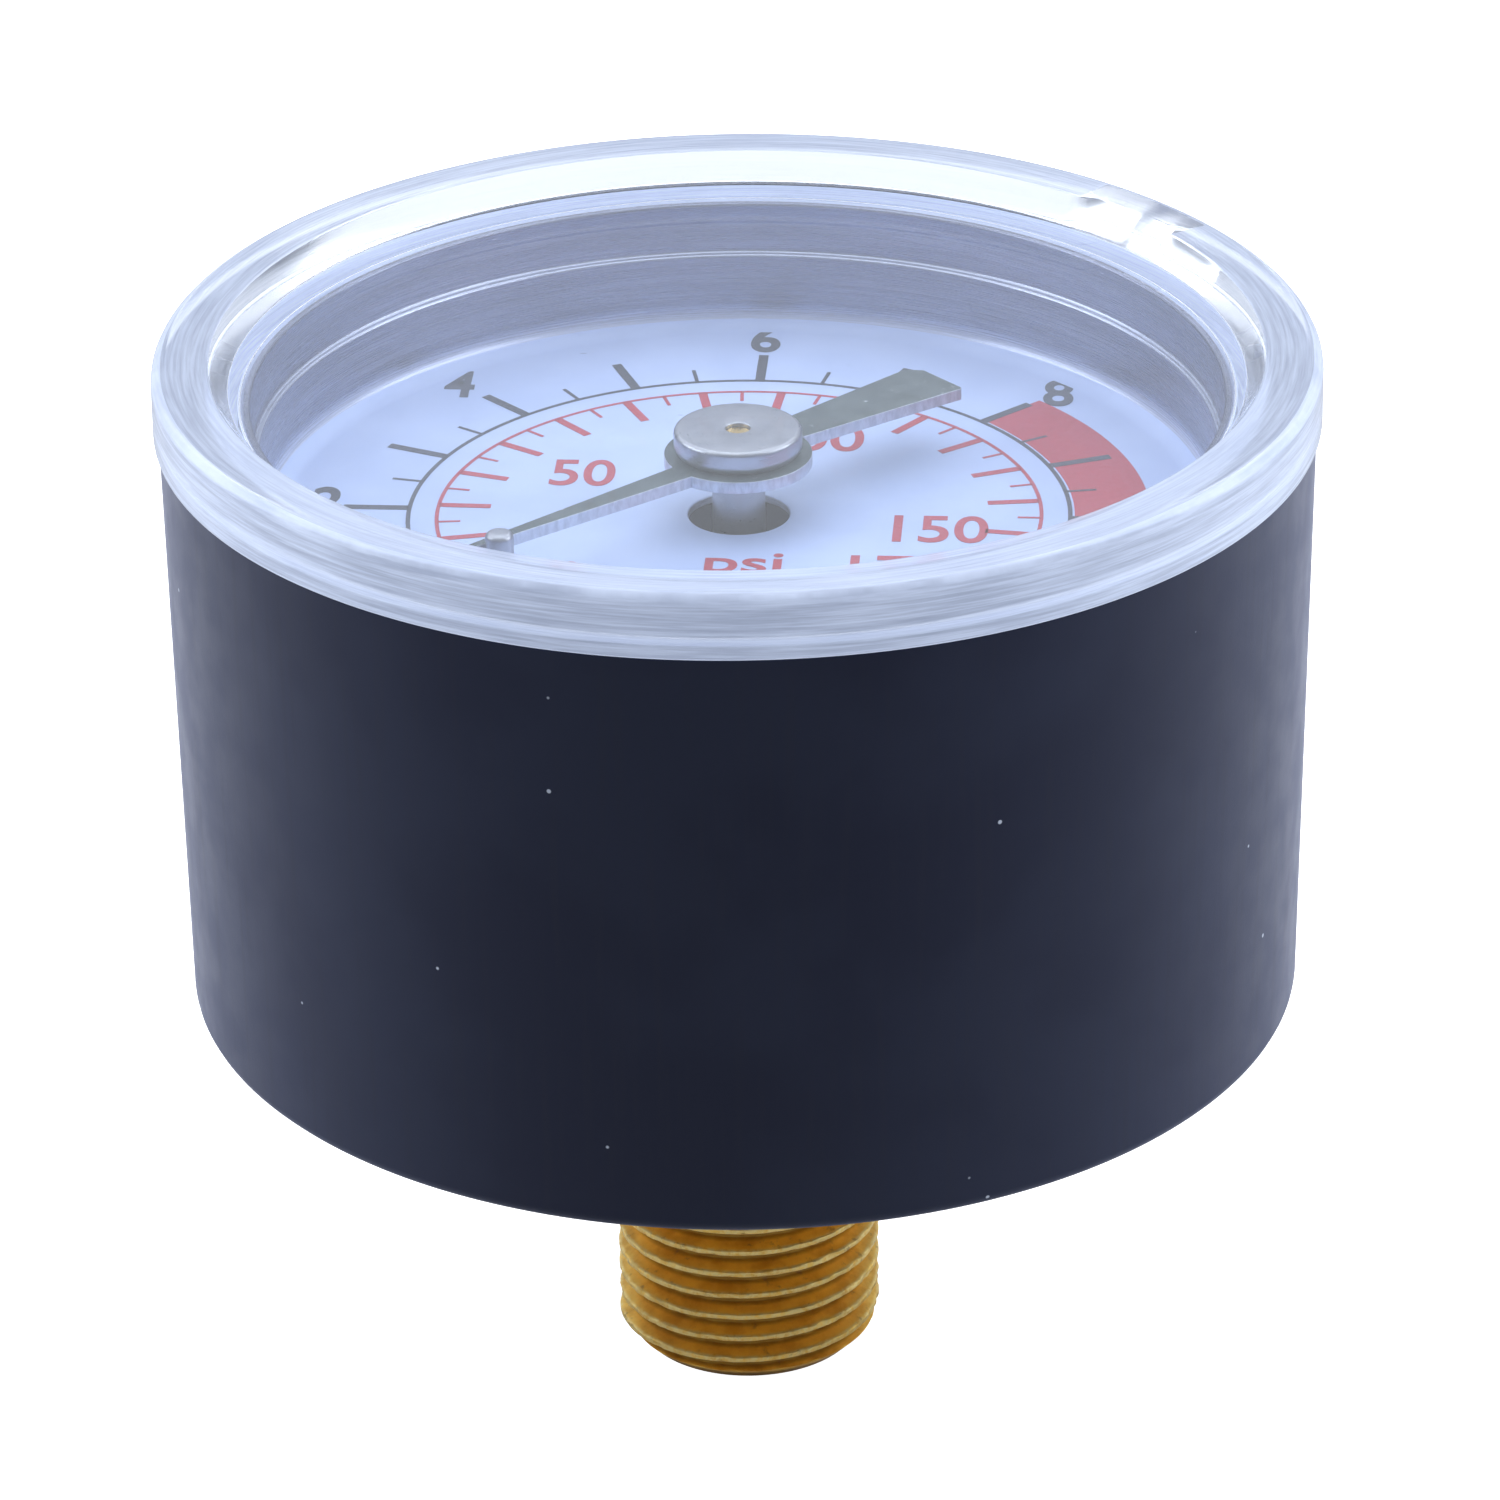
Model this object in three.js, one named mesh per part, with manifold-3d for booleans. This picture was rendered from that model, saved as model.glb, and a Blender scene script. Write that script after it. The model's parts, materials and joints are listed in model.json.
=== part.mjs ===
// Pressure gauge: 40 mm nominal, centre-back stem with a G1/8 thread, Bourdon tube and sector movement.
// Millimetres. +Z runs from the stem's end to the dial, +Y points to 12 o'clock, +X to 3 o'clock.
// The origin is the centre of the stem's end face. The pointer is modelled at rest, against its stop pin.
import * as THREE from 'three';
import { mergeVertices } from 'three/addons/utils/BufferGeometryUtils.js';
import Module from 'manifold-3d';

const wasm = await Module();
wasm.setup();

const FULL_TURN = 2 * Math.PI;
const SEAT_GAP = 0.02; // between pieces that are pressed or screwed together
const RUNNING_GAP = 0.05; // radial play of an arbor in its hole
const OVERLAP = 0.1; // of two shapes that are joined into one
const CUT_CLEARANCE = 1; // that a cutting tool reaches past the face it cuts
const SMALL_SEGMENTS = 16; // round a screw, pin or arbor
const LARGE_SEGMENTS = 60; // round the case, window, dial and tube

// Stem and socket
const THREAD_RADIUS = 4.864; // G1/8
const THREAD_CORE_RADIUS = 4.283;
const THREAD_PITCH = 0.907; // 28 threads per inch
const THREAD_TOP = 9.3;
const THREAD_END_CHAMFER = 0.8;
const THREAD_STEPS = 24; // round one turn
const THREAD_ROOT_END = 0.12; // where the flank leaves the root, in pitches from the start of a turn
const THREAD_CREST_START = 0.44;
const THREAD_CREST_END = 0.6;
const RELIEF_CONE_RADIUS = 4.9; // where the relief groove runs out into the shoulder
const RELIEF_CONE_BOTTOM = 9.55;
const SQUARE_BOTTOM = 10;
const SQUARE_TOP = 15.1;
const SQUARE_WIDTH = 12; // spanner size
const SQUARE_CORNER_CUT = 1.3;
const NECK_RADIUS = 6.3;
const BORE_RADIUS = 1.25;
const CROSS_BORE_RADIUS = 0.8;
const BAR_ANGLE = 45; // the socket's bar runs across the case floor, screws along it
const BAR_HALF_WIDTH = 4.5;
const BAR_LENGTH = 12; // from the centre, on the end away from the tube
const BAR_BOTTOM = 16.85;
const BAR_TOP = 22;
const TUBE_BLOCK_TOP = 24.2;
const TUBE_BLOCK_INNER = 12;
const TUBE_BLOCK_OUTER = 16;

// Case
const CASE_BACK = 15.2;
const CASE_RIM = 37.4;
const CASE_BACK_RADIUS = 20.19;
const CASE_RIM_RADIUS = 20.58;
const CASE_BACK_EDGE = 0.5;
const CASE_FLOOR = 16.8;
const CASE_FLOOR_CORNER = 0.6;
const CASE_INNER_RADIUS = 18.5;
const WINDOW_SEAT_RADIUS = 18.95;
const WINDOW_SEAT_BOTTOM = 34.2;
const CASE_NECK_HOLE = 6.4;
const CASE_SCREW_HOLE = 1.5;
const RIB_COUNT = 6;
const RIB_INNER_RADIUS = 16.3;
const RIB_THICKNESS = 1.2;
const RIB_ROOT = 0.5; // of a rib sunk into the wall and the floor

// Window
const PANE_BOTTOM = 37.35;
const PANE_TOP = 38.85;
const WINDOW_TOP = 39.85;
const WINDOW_RADIUS = 20.77;
const WINDOW_TOP_ROUND = 0.5;
const WINDOW_LIP_RADIUS = 18.75; // inner edge of the flat top face
const PANE_RADIUS = 18.05;
const FLANGE_BOTTOM = 37.42;
const SKIRT_INNER = 17.75;
const SKIRT_OUTER = 18.85;
const SKIRT_BOTTOM = 34.5;
const SKIRT_CHAMFER = 0.4;

// Dial, a drawn sheet pan
const DIAL_FACE = 32.4;
const DIAL_THICKNESS = 0.3;
const DIAL_CORNER = 0.8;
const DIAL_WALL_RADIUS = 17.05;
const DIAL_STEP_HEIGHT = 35.3;
const DIAL_RIM_RADIUS = 17.3;
const DIAL_RIM_TOP = 37.26;
const DIAL_HOLE = 1.82;
const STOP_PIN_ANGLE = -133;
const STOP_PIN_DISTANCE = 11.4;
const STOP_PIN_RADIUS = 0.5;
const STOP_PIN_TOP = 35.36;
const STOP_PIN_ROUND = 0.2;
const STOP_PIN_RIVET_RADIUS = 0.75;
const STOP_PIN_RIVET_HEIGHT = 0.3;

// Pointer
const POINTER_REST_ANGLE = -136.5; // the zero mark is at -135
const POINTER_BOTTOM = 34.35;
const POINTER_TOP = 34.8;
const POINTER_BOSS_RADIUS = 2.65;
const POINTER_TIP = 12.1;
const POINTER_TIP_HALF_WIDTH = 0.15;
const POINTER_ROOT_HALF_WIDTH = 0.53; // of the arm where it meets the boss
const POINTER_TAIL = 9.77;
const TAIL_ROOT_HALF_WIDTH = 0.82;
const TAIL_END_HALF_WIDTH = 1.34;
const TAIL_OFFSET = 0.33; // of the pointer's tail to one side of its axis
const TAIL_CORNER_CUT = 0.5;
const HUB_RADIUS = 2.3;
const HUB_TOP = 35.75;
const HUB_ROUND = 0.35;
const HUB_TOP_CHAMFER = 0.1;
const SLEEVE_RADIUS = 0.95;
const SLEEVE_BOTTOM = 30.5;

// Bourdon tube: a flattened tube bent to a C
const TUBE_BEND_RADIUS = 14.2;
const TUBE_MIDDLE = 20.6;
const TUBE_HALF_THICKNESS = 0.85;
const TUBE_HALF_HEIGHT = 2.8;
const TUBE_WALL = 0.3;
const TUBE_START = -141; // the tube runs clockwise from here, round by 12 o'clock
const TUBE_END = -22;
const TUBE_SLOT_END = -131;
const TIP_BLOCK_END = -30;
const TIP_BLOCK_GAP_ANGLE = 0.3; // between the block and the tube's end
const TIP_BLOCK_BOTTOM = 17.6;
const TIP_BLOCK_HALF_WIDTH = 1;
const TIP_PLUG_HALF_WIDTH = 0.35; // of the tongue that fills the tube's end
const TIP_PLUG_ROOT_ANGLE = 2;
const TIP_PLUG_REACH_ANGLE = 5;
const TIP_PLUG_HALF_HEIGHT = 1.9;
const TIP_TAB_BOTTOM = 23.45;
const TIP_TAB_HALF_WIDTH = 0.95;

// Movement
const BACK_PLATE_BOTTOM = BAR_TOP + SEAT_GAP;
const BACK_PLATE_TOP = 22.8;
const FRONT_PLATE_BOTTOM = 28.3;
const FRONT_PLATE_TOP = 29.1;
const PLATE_EDGE = 2; // plate outline round each corner hole
const PILLAR_RADIUS = 1;
const PILLAR_SPIGOT_RADIUS = 0.7;
const PILLAR_TAPPED_RADIUS = 0.55;
const PILLAR_TAPPED_DEPTH = 2.5;
const CASE_SCREW = { headRadius: 2.2, headHeight: 1.3, shankRadius: 1.3, shankLength: 3.6 };
const PLATE_SCREW = { headRadius: 1.3, headHeight: 0.8, shankRadius: 0.5, shankLength: 3 };
const MOVEMENT_SCREW = { headRadius: 1.4, headHeight: 0.9, shankRadius: 0.7, shankLength: 3.2 };
const SCREW_PLAY = 0.1; // round a screw's shank in a plate
const SCREW_HOLE_SPARE = 0.2; // that a tapped hole is deeper than its screw
const GEAR_MODULE = 0.16;
const PINION_TEETH = 12;
const SECTOR_FULL_TEETH = 96; // of the whole wheel the sector is cut from
const SECTOR_FIRST_TOOTH = -11; // counted from the tooth that faces the pinion at rest
const SECTOR_LAST_TOOTH = 2;
const PRESSURE_ANGLE = 25;
const TOOTH_ADDENDUM = 0.95; // in modules
const TOOTH_DEDENDUM = 1.25;
const TOOTH_BACKLASH = 0.03;
const SECTOR_DIRECTION = -55; // of the sector's arbor, from the pinion
const SECTOR_BOTTOM = 25;
const SECTOR_TOP = 26;
const SECTOR_BOSS_RADIUS = 1.7;
const SECTOR_OPENING_INNER = 2.9;
const SECTOR_OPENING_OUTER = 6.2;
const SECTOR_SPOKE_ANGLE = 8;
const SECTOR_TAIL_LENGTH = 3.2;
const SECTOR_TAIL_ANGLE = -56;
const SECTOR_TAIL_HALF_WIDTH = 1;
const TIP_PIN_DISTANCE = 11.9;
const TIP_PIN_ANGLE = -26;
const LINK_BOTTOM = 24.05;
const LINK_TOP = 24.6;
const LINK_HALF_WIDTH = 0.8;
const LINK_PIN_RADIUS = 0.35;
const LINK_PIN_HEAD_RADIUS = 0.65;
const LINK_PIN_HEAD_CHAMFER = 0.15;
const LINK_PIN_HEAD_GAP = 0.15; // between the head and the sector's tail
const LINK_PIN_HEAD_TOP = 0.55; // above the sector
const TIP_PIN_HEAD_TOP = 0.3; // above the link
const TAIL_HOLE_RADIUS = 0.48; // wide enough for the link's small mismatch
const PIVOT_RADIUS = 0.42;
const ARBOR_RADIUS = 0.6;
const END_PLAY = 0.1; // of an arbor between the plates, at each end
const PINION_ARBOR_TOP = 35.6;
const PINION_OVERHANG = 0.3; // of the pinion past the sector's faces
const SPRING_TURNS = 4;
const SPRING_THICKNESS = 0.12;
const SPRING_INNER = 1.28;
const SPRING_OUTER = 4.05;
const SPRING_BOTTOM = 26.95;
const SPRING_TOP = 27.45;
const COLLET_RADIUS = 1.2;
const COLLET_BELOW_SPRING = 0.1;
const COLLET_ABOVE_SPRING = 0.2;
const STUD_ANGLE = 150;
const STUD_RADIUS = 0.45;
const STUD_BELOW_SPRING = 0.15;

const radians = (degrees) => (degrees * Math.PI) / 180;
const polar = (distance, degrees) =>
  new THREE.Vector2(distance * Math.cos(radians(degrees)), distance * Math.sin(radians(degrees)));

const CENTRE = new THREE.Vector2(0, 0);
const GEAR_DISTANCE = (GEAR_MODULE * (PINION_TEETH + SECTOR_FULL_TEETH)) / 2;
const SECTOR_CENTRE = polar(GEAR_DISTANCE, SECTOR_DIRECTION);
const TAIL_PIN = SECTOR_CENTRE.clone().add(polar(SECTOR_TAIL_LENGTH, SECTOR_TAIL_ANGLE));
const TIP_PIN = polar(TIP_PIN_DISTANCE, TIP_PIN_ANGLE);
const PILLARS = [new THREE.Vector2(-5.6, 3.6), new THREE.Vector2(7.6, -1.6)];
const MOVEMENT_SCREWS = [new THREE.Vector2(5.52, 1.56), new THREE.Vector2(-5.52, -1.56)];
const CASE_SCREWS = [polar(9.2, BAR_ANGLE), polar(9.2, BAR_ANGLE + 180)];

// ---------- Geometry helpers ----------

function faceOutward(geometry) {
  const position = geometry.attributes.position;
  const index = geometry.index.array;
  const corner = [new THREE.Vector3(), new THREE.Vector3(), new THREE.Vector3()];
  let volume = 0;
  for (let i = 0; i < index.length; i += 3) {
    corner.forEach((point, k) => point.fromBufferAttribute(position, index[i + k]));
    volume += corner[0].dot(corner[1].clone().cross(corner[2]));
  }
  if (volume < 0) {
    for (let i = 0; i < index.length; i += 3) {
      [index[i + 1], index[i + 2]] = [index[i + 2], index[i + 1]];
    }
  }
  return geometry;
}

// Merges shared points, and drops the faces that shrink to a line where a profile meets the axis.
function weld(geometry) {
  const bare = geometry.clone();
  bare.deleteAttribute('normal');
  bare.deleteAttribute('uv');
  const merged = mergeVertices(bare, 1e-5);
  const index = merged.index.array;
  const faces = [];
  for (let i = 0; i < index.length; i += 3) {
    const [a, b, c] = index.slice(i, i + 3);
    if (a !== b && b !== c && c !== a) {
      faces.push(a, b, c);
    }
  }
  merged.setIndex(faces);
  return faceOutward(merged);
}

// A profile of [radius, height] points turned about +Z. It ends on the axis or closes on itself.
function turned(profile, segments = SMALL_SEGMENTS) {
  const points = profile.map(([radius, height]) => new THREE.Vector2(radius, height));
  if (profile[0][0] > 0) {
    points.push(points[0].clone());
  }
  return weld(new THREE.LatheGeometry(points, segments).rotateX(Math.PI / 2));
}

function cylinder(radius, bottom, top, at = CENTRE, segments = SMALL_SEGMENTS) {
  const profile = [[0, bottom], [radius, bottom], [radius, top], [0, top]];
  return turned(profile, segments).translate(at.x, at.y, 0);
}

function prism(shape, bottom, top, curveSegments = 5) {
  const options = { depth: top - bottom, bevelEnabled: false, curveSegments };
  return weld(new THREE.ExtrudeGeometry(shape, options).translate(0, 0, bottom));
}

// A flat plate with round holes given as [centre, radius].
function plate(shape, holes, bottom, top) {
  for (const [centre, radius] of holes) {
    shape.holes.push(new THREE.Path().absarc(centre.x, centre.y, radius, 0, FULL_TURN));
  }
  return prism(shape, bottom, top, SMALL_SEGMENTS / 2);
}

// The outline at a set distance outside a convex polygon whose corners run anticlockwise.
function roundedOutline(corners, distance) {
  const shape = new THREE.Shape();
  const outwardAngle = (from, to) => Math.atan2(from.x - to.x, to.y - from.y);
  corners.forEach((corner, i) => {
    const before = corners.at(i - 1);
    const after = corners[(i + 1) % corners.length];
    const start = outwardAngle(before, corner);
    const end = outwardAngle(corner, after);
    shape.absarc(corner.x, corner.y, distance, start, end, false);
  });
  return shape;
}

// A piece of a flat ring between two angles, or a wedge of a disc when the inner radius is 0.
function ringPiece(inner, outer, from, to) {
  const shape = new THREE.Shape();
  shape.absarc(0, 0, outer, radians(from), radians(to), false);
  if (inner === 0) {
    shape.lineTo(0, 0);
  } else {
    shape.absarc(0, 0, inner, radians(to), radians(from), true);
  }
  return shape;
}

// Points on a quarter round from one direction to another, as [radius, height] pairs.
function cornerRound(radius, height, size, from, to, steps = 3) {
  return Array.from({ length: steps + 1 }, (_, i) => {
    const point = polar(size, from + ((to - from) * i) / steps);
    return [radius + point.x, height + point.y];
  });
}

function toManifold(geometry) {
  const vertProperties = new Float32Array(geometry.attributes.position.array);
  const triVerts = new Uint32Array(geometry.index.array);
  return new wasm.Manifold(new wasm.Mesh({ numProp: 3, vertProperties, triVerts }));
}

function fromManifold(body) {
  const { vertProperties, triVerts } = body.getMesh();
  const geometry = new THREE.BufferGeometry();
  geometry.setAttribute('position', new THREE.BufferAttribute(vertProperties, 3));
  geometry.setIndex(new THREE.BufferAttribute(triVerts, 1));
  return geometry;
}

function join(...pieces) {
  return fromManifold(pieces.map(toManifold).reduce((whole, piece) => whole.add(piece)));
}

function cut(body, ...tools) {
  return fromManifold(tools.map(toManifold).reduce((left, tool) => left.subtract(tool), toManifold(body)));
}

// ---------- Gear teeth ----------

// Half the angle a tooth takes up at a given radius, for an involute tooth.
function toothHalfAngle(teeth, radius) {
  const pitchRadius = (GEAR_MODULE * teeth) / 2;
  const baseRadius = pitchRadius * Math.cos(radians(PRESSURE_ANGLE));
  const involute = (angle) => Math.tan(angle) - angle;
  const flankAngle = Math.acos(Math.min(1, baseRadius / radius));
  const atPitch = FULL_TURN / (4 * teeth) - TOOTH_BACKLASH / (2 * pitchRadius);
  return atPitch + involute(radians(PRESSURE_ANGLE)) - involute(flankAngle);
}

// Outline points of a run of teeth, with tooth 0 centred on the given direction.
function toothOutline(teeth, first, last, direction) {
  const pitchRadius = (GEAR_MODULE * teeth) / 2;
  const root = pitchRadius - TOOTH_DEDENDUM * GEAR_MODULE;
  const tip = pitchRadius + TOOTH_ADDENDUM * GEAR_MODULE;
  const radii = [root, pitchRadius - GEAR_MODULE / 2, pitchRadius, pitchRadius + GEAR_MODULE / 2, tip];
  const points = [];
  for (let tooth = first; tooth <= last; tooth += 1) {
    const centre = radians(direction) + (tooth * FULL_TURN) / teeth;
    const flank = (radius, side) => {
      const angle = centre + side * toothHalfAngle(teeth, radius);
      return new THREE.Vector2(radius * Math.cos(angle), radius * Math.sin(angle));
    };
    radii.forEach((radius) => points.push(flank(radius, -1)));
    radii.toReversed().forEach((radius) => points.push(flank(radius, 1)));
  }
  return points;
}

// ---------- Stem and socket ----------

// Helical rows of points, one row per profile point of the thread. After a full turn each row
// continues as the row one pitch higher.
function threadBlank() {
  const steps = THREAD_STEPS;
  const profile = [THREAD_CORE_RADIUS, THREAD_CORE_RADIUS, THREAD_RADIUS, THREAD_RADIUS];
  const rowHeight = [0, THREAD_ROOT_END, THREAD_CREST_START, THREAD_CREST_END];
  const rows = profile.length;
  const turns = Math.ceil(THREAD_TOP / THREAD_PITCH) + 3;
  const positions = [];
  for (let row = 0; row < rows * turns; row += 1) {
    for (let step = 0; step < steps; step += 1) {
      const angle = (step * FULL_TURN) / steps;
      const radius = profile[row % rows];
      const pitches = Math.floor(row / rows) + rowHeight[row % rows] + step / steps - 2;
      positions.push(radius * Math.cos(angle), radius * Math.sin(angle), pitches * THREAD_PITCH);
    }
  }
  const at = (row, step) => (step < steps ? row * steps + step : (row + rows) * steps);
  const faces = [];
  const lastRow = rows * (turns - 1) - 1;
  for (let row = 0; row < lastRow; row += 1) {
    for (let step = 0; step < steps; step += 1) {
      faces.push(at(row, step), at(row, step + 1), at(row + 1, step + 1));
      faces.push(at(row, step), at(row + 1, step + 1), at(row + 1, step));
    }
  }
  // Each end is closed by a fan about a point on the axis.
  const closeEnd = (row, height, flip) => {
    const middle = positions.length / 3;
    positions.push(0, 0, height);
    const edge = [];
    for (let step = 0; step < steps; step += 1) {
      edge.push(at(row, step));
    }
    for (let up = rows; up > 0; up -= 1) {
      edge.push(at(row + up, 0));
    }
    edge.forEach((point, i) => {
      const next = edge[(i + 1) % edge.length];
      faces.push(middle, ...(flip ? [next, point] : [point, next]));
    });
  };
  closeEnd(0, -2.5 * THREAD_PITCH, true);
  closeEnd(lastRow, (turns - 1.5) * THREAD_PITCH, false);
  const geometry = new THREE.BufferGeometry();
  geometry.setAttribute('position', new THREE.Float32BufferAttribute(positions, 3));
  geometry.setIndex(faces);
  return weld(geometry);
}

function thread() {
  const reach = 2 * THREAD_RADIUS;
  const belowEnd = turned([
    [0, -reach],
    [reach, -reach],
    [reach, THREAD_END_CHAMFER + reach - THREAD_RADIUS],
    [THREAD_RADIUS - THREAD_END_CHAMFER, 0],
    [0, 0],
  ]);
  const aboveTop = cylinder(reach, THREAD_TOP, THREAD_TOP + reach);
  return cut(threadBlank(), belowEnd, aboveTop);
}

function spannerSquare() {
  const half = SQUARE_WIDTH / 2;
  const corner = half - SQUARE_CORNER_CUT;
  const shape = new THREE.Shape();
  shape.moveTo(half, -corner);
  for (let side = 0; side < 4; side += 1) {
    const turn = (point) => point.rotateAround(CENTRE, (side * Math.PI) / 2);
    const end = turn(new THREE.Vector2(half, corner));
    const next = turn(new THREE.Vector2(corner, half));
    shape.lineTo(end.x, end.y);
    shape.lineTo(next.x, next.y);
  }
  return prism(shape, SQUARE_BOTTOM, SQUARE_TOP).rotateZ(radians(BAR_ANGLE));
}

// The bar lies along +X here and is turned to its place by the caller. Its tube end is at -X.
function socketBar() {
  const bar = new THREE.Shape();
  const endAngle = Math.asin(BAR_HALF_WIDTH / TUBE_BLOCK_OUTER);
  bar.absarc(0, 0, TUBE_BLOCK_OUTER, Math.PI - endAngle, Math.PI + endAngle, false);
  bar.lineTo(BAR_LENGTH, -BAR_HALF_WIDTH);
  bar.lineTo(BAR_LENGTH, BAR_HALF_WIDTH);
  const tubeBlock = new THREE.Shape();
  tubeBlock.absarc(0, 0, TUBE_BLOCK_OUTER, Math.PI - endAngle, Math.PI + endAngle, false);
  tubeBlock.lineTo(-TUBE_BLOCK_INNER, -BAR_HALF_WIDTH);
  tubeBlock.lineTo(-TUBE_BLOCK_INNER, BAR_HALF_WIDTH);
  return join(prism(bar, BAR_BOTTOM, BAR_TOP), prism(tubeBlock, BAR_BOTTOM, TUBE_BLOCK_TOP));
}

function socket() {
  const relief = turned([
    [0, THREAD_TOP - OVERLAP],
    [THREAD_CORE_RADIUS, THREAD_TOP - OVERLAP],
    [THREAD_CORE_RADIUS, RELIEF_CONE_BOTTOM],
    [RELIEF_CONE_RADIUS, SQUARE_BOTTOM],
    [RELIEF_CONE_RADIUS, SQUARE_BOTTOM + OVERLAP],
    [0, SQUARE_BOTTOM + OVERLAP],
  ], 2 * SMALL_SEGMENTS);
  const neck = cylinder(
    NECK_RADIUS, SQUARE_TOP - OVERLAP, BAR_BOTTOM + OVERLAP, CENTRE, 2 * SMALL_SEGMENTS);
  const body = join(thread(), relief, spannerSquare(), neck, socketBar().rotateZ(radians(BAR_ANGLE)));
  const bore = cylinder(BORE_RADIUS, -CUT_CLEARANCE, TUBE_MIDDLE);
  const crossBore = cylinder(CROSS_BORE_RADIUS, 0, TUBE_BEND_RADIUS)
    .rotateY(-Math.PI / 2)
    .translate(0, 0, TUBE_MIDDLE)
    .rotateZ(radians(BAR_ANGLE));
  const slotRing = tubeRing(TUBE_HALF_THICKNESS + RUNNING_GAP, TUBE_HALF_HEIGHT + RUNNING_GAP);
  const restOfRing = ringPiece(0, 2 * TUBE_BEND_RADIUS, TUBE_SLOT_END, TUBE_SLOT_END + 300);
  const slot = cut(slotRing, prism(restOfRing, 0, 2 * TUBE_MIDDLE));
  const caseHoleEnd = CASE_BACK - SEAT_GAP + CASE_SCREW.shankLength + SCREW_HOLE_SPARE;
  const movementHoleEnd = BACK_PLATE_TOP + SEAT_GAP - MOVEMENT_SCREW.shankLength - SCREW_HOLE_SPARE;
  const screwHoles = [
    ...CASE_SCREWS.map((at) => cylinder(
      CASE_SCREW.shankRadius + RUNNING_GAP, SQUARE_TOP, caseHoleEnd, at)),
    ...MOVEMENT_SCREWS.map((at) => cylinder(
      MOVEMENT_SCREW.shankRadius + RUNNING_GAP, movementHoleEnd, BAR_TOP + CUT_CLEARANCE, at)),
  ];
  return cut(body, bore, crossBore, slot, ...screwHoles);
}

// ---------- Case, window and dial ----------

function gaugeCase() {
  const shell = turned([
    [CASE_NECK_HOLE, CASE_BACK],
    ...cornerRound(CASE_BACK_RADIUS - CASE_BACK_EDGE, CASE_BACK + CASE_BACK_EDGE, CASE_BACK_EDGE, -90, 0),
    [CASE_RIM_RADIUS, CASE_RIM],
    [WINDOW_SEAT_RADIUS, CASE_RIM],
    [WINDOW_SEAT_RADIUS, WINDOW_SEAT_BOTTOM],
    [CASE_INNER_RADIUS, WINDOW_SEAT_BOTTOM],
    [CASE_INNER_RADIUS, CASE_FLOOR + CASE_FLOOR_CORNER],
    [CASE_INNER_RADIUS - CASE_FLOOR_CORNER, CASE_FLOOR],
    [CASE_NECK_HOLE, CASE_FLOOR],
  ], LARGE_SEGMENTS);
  const ribTop = DIAL_FACE - DIAL_THICKNESS - SEAT_GAP;
  const ribBottom = CASE_FLOOR - RIB_ROOT;
  const ribLength = CASE_INNER_RADIUS + RIB_ROOT - RIB_INNER_RADIUS;
  const ribs = [];
  for (let i = 0; i < RIB_COUNT; i += 1) {
    const rib = new THREE.BoxGeometry(ribLength, RIB_THICKNESS, ribTop - ribBottom);
    rib.translate(RIB_INNER_RADIUS + ribLength / 2, 0, (ribTop + ribBottom) / 2);
    ribs.push(weld(rib.rotateZ((i * FULL_TURN) / RIB_COUNT)));
  }
  const screwHoles = CASE_SCREWS.map((at) => cylinder(
    CASE_SCREW_HOLE, CASE_BACK - CUT_CLEARANCE, CASE_FLOOR + CUT_CLEARANCE, at));
  return cut(join(shell, ...ribs), ...screwHoles);
}

function gaugeWindow() {
  const roundAt = WINDOW_TOP - WINDOW_TOP_ROUND;
  return turned([
    [0, PANE_BOTTOM],
    [SKIRT_INNER, PANE_BOTTOM],
    [SKIRT_INNER, SKIRT_BOTTOM],
    [SKIRT_OUTER - SKIRT_CHAMFER, SKIRT_BOTTOM],
    [SKIRT_OUTER, SKIRT_BOTTOM + SKIRT_CHAMFER],
    [SKIRT_OUTER, FLANGE_BOTTOM],
    [WINDOW_RADIUS, FLANGE_BOTTOM],
    ...cornerRound(WINDOW_RADIUS - WINDOW_TOP_ROUND, roundAt, WINDOW_TOP_ROUND, 0, 90),
    [WINDOW_LIP_RADIUS, WINDOW_TOP],
    [PANE_RADIUS, PANE_TOP],
    [0, PANE_TOP],
  ], LARGE_SEGMENTS);
}

function dial() {
  const cornerHeight = DIAL_FACE + DIAL_CORNER;
  const cornerRadius = DIAL_WALL_RADIUS - DIAL_CORNER;
  const outerCorner = DIAL_CORNER + DIAL_THICKNESS;
  const pan = turned([
    [DIAL_HOLE, DIAL_FACE],
    ...cornerRound(cornerRadius, cornerHeight, DIAL_CORNER, -90, 0),
    [DIAL_WALL_RADIUS, DIAL_STEP_HEIGHT],
    [DIAL_RIM_RADIUS, DIAL_STEP_HEIGHT],
    [DIAL_RIM_RADIUS, DIAL_RIM_TOP],
    [DIAL_RIM_RADIUS + DIAL_THICKNESS, DIAL_RIM_TOP],
    [DIAL_RIM_RADIUS + DIAL_THICKNESS, DIAL_STEP_HEIGHT - DIAL_THICKNESS],
    [DIAL_WALL_RADIUS + DIAL_THICKNESS, DIAL_STEP_HEIGHT - DIAL_THICKNESS],
    ...cornerRound(cornerRadius, cornerHeight, outerCorner, 0, -90),
    [DIAL_HOLE, DIAL_FACE - DIAL_THICKNESS],
  ], LARGE_SEGMENTS);
  const pinHole = cylinder(
    STOP_PIN_RADIUS + SEAT_GAP,
    DIAL_FACE - CUT_CLEARANCE,
    DIAL_FACE + CUT_CLEARANCE,
    polar(STOP_PIN_DISTANCE, STOP_PIN_ANGLE),
  );
  return cut(pan, pinHole);
}

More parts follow.
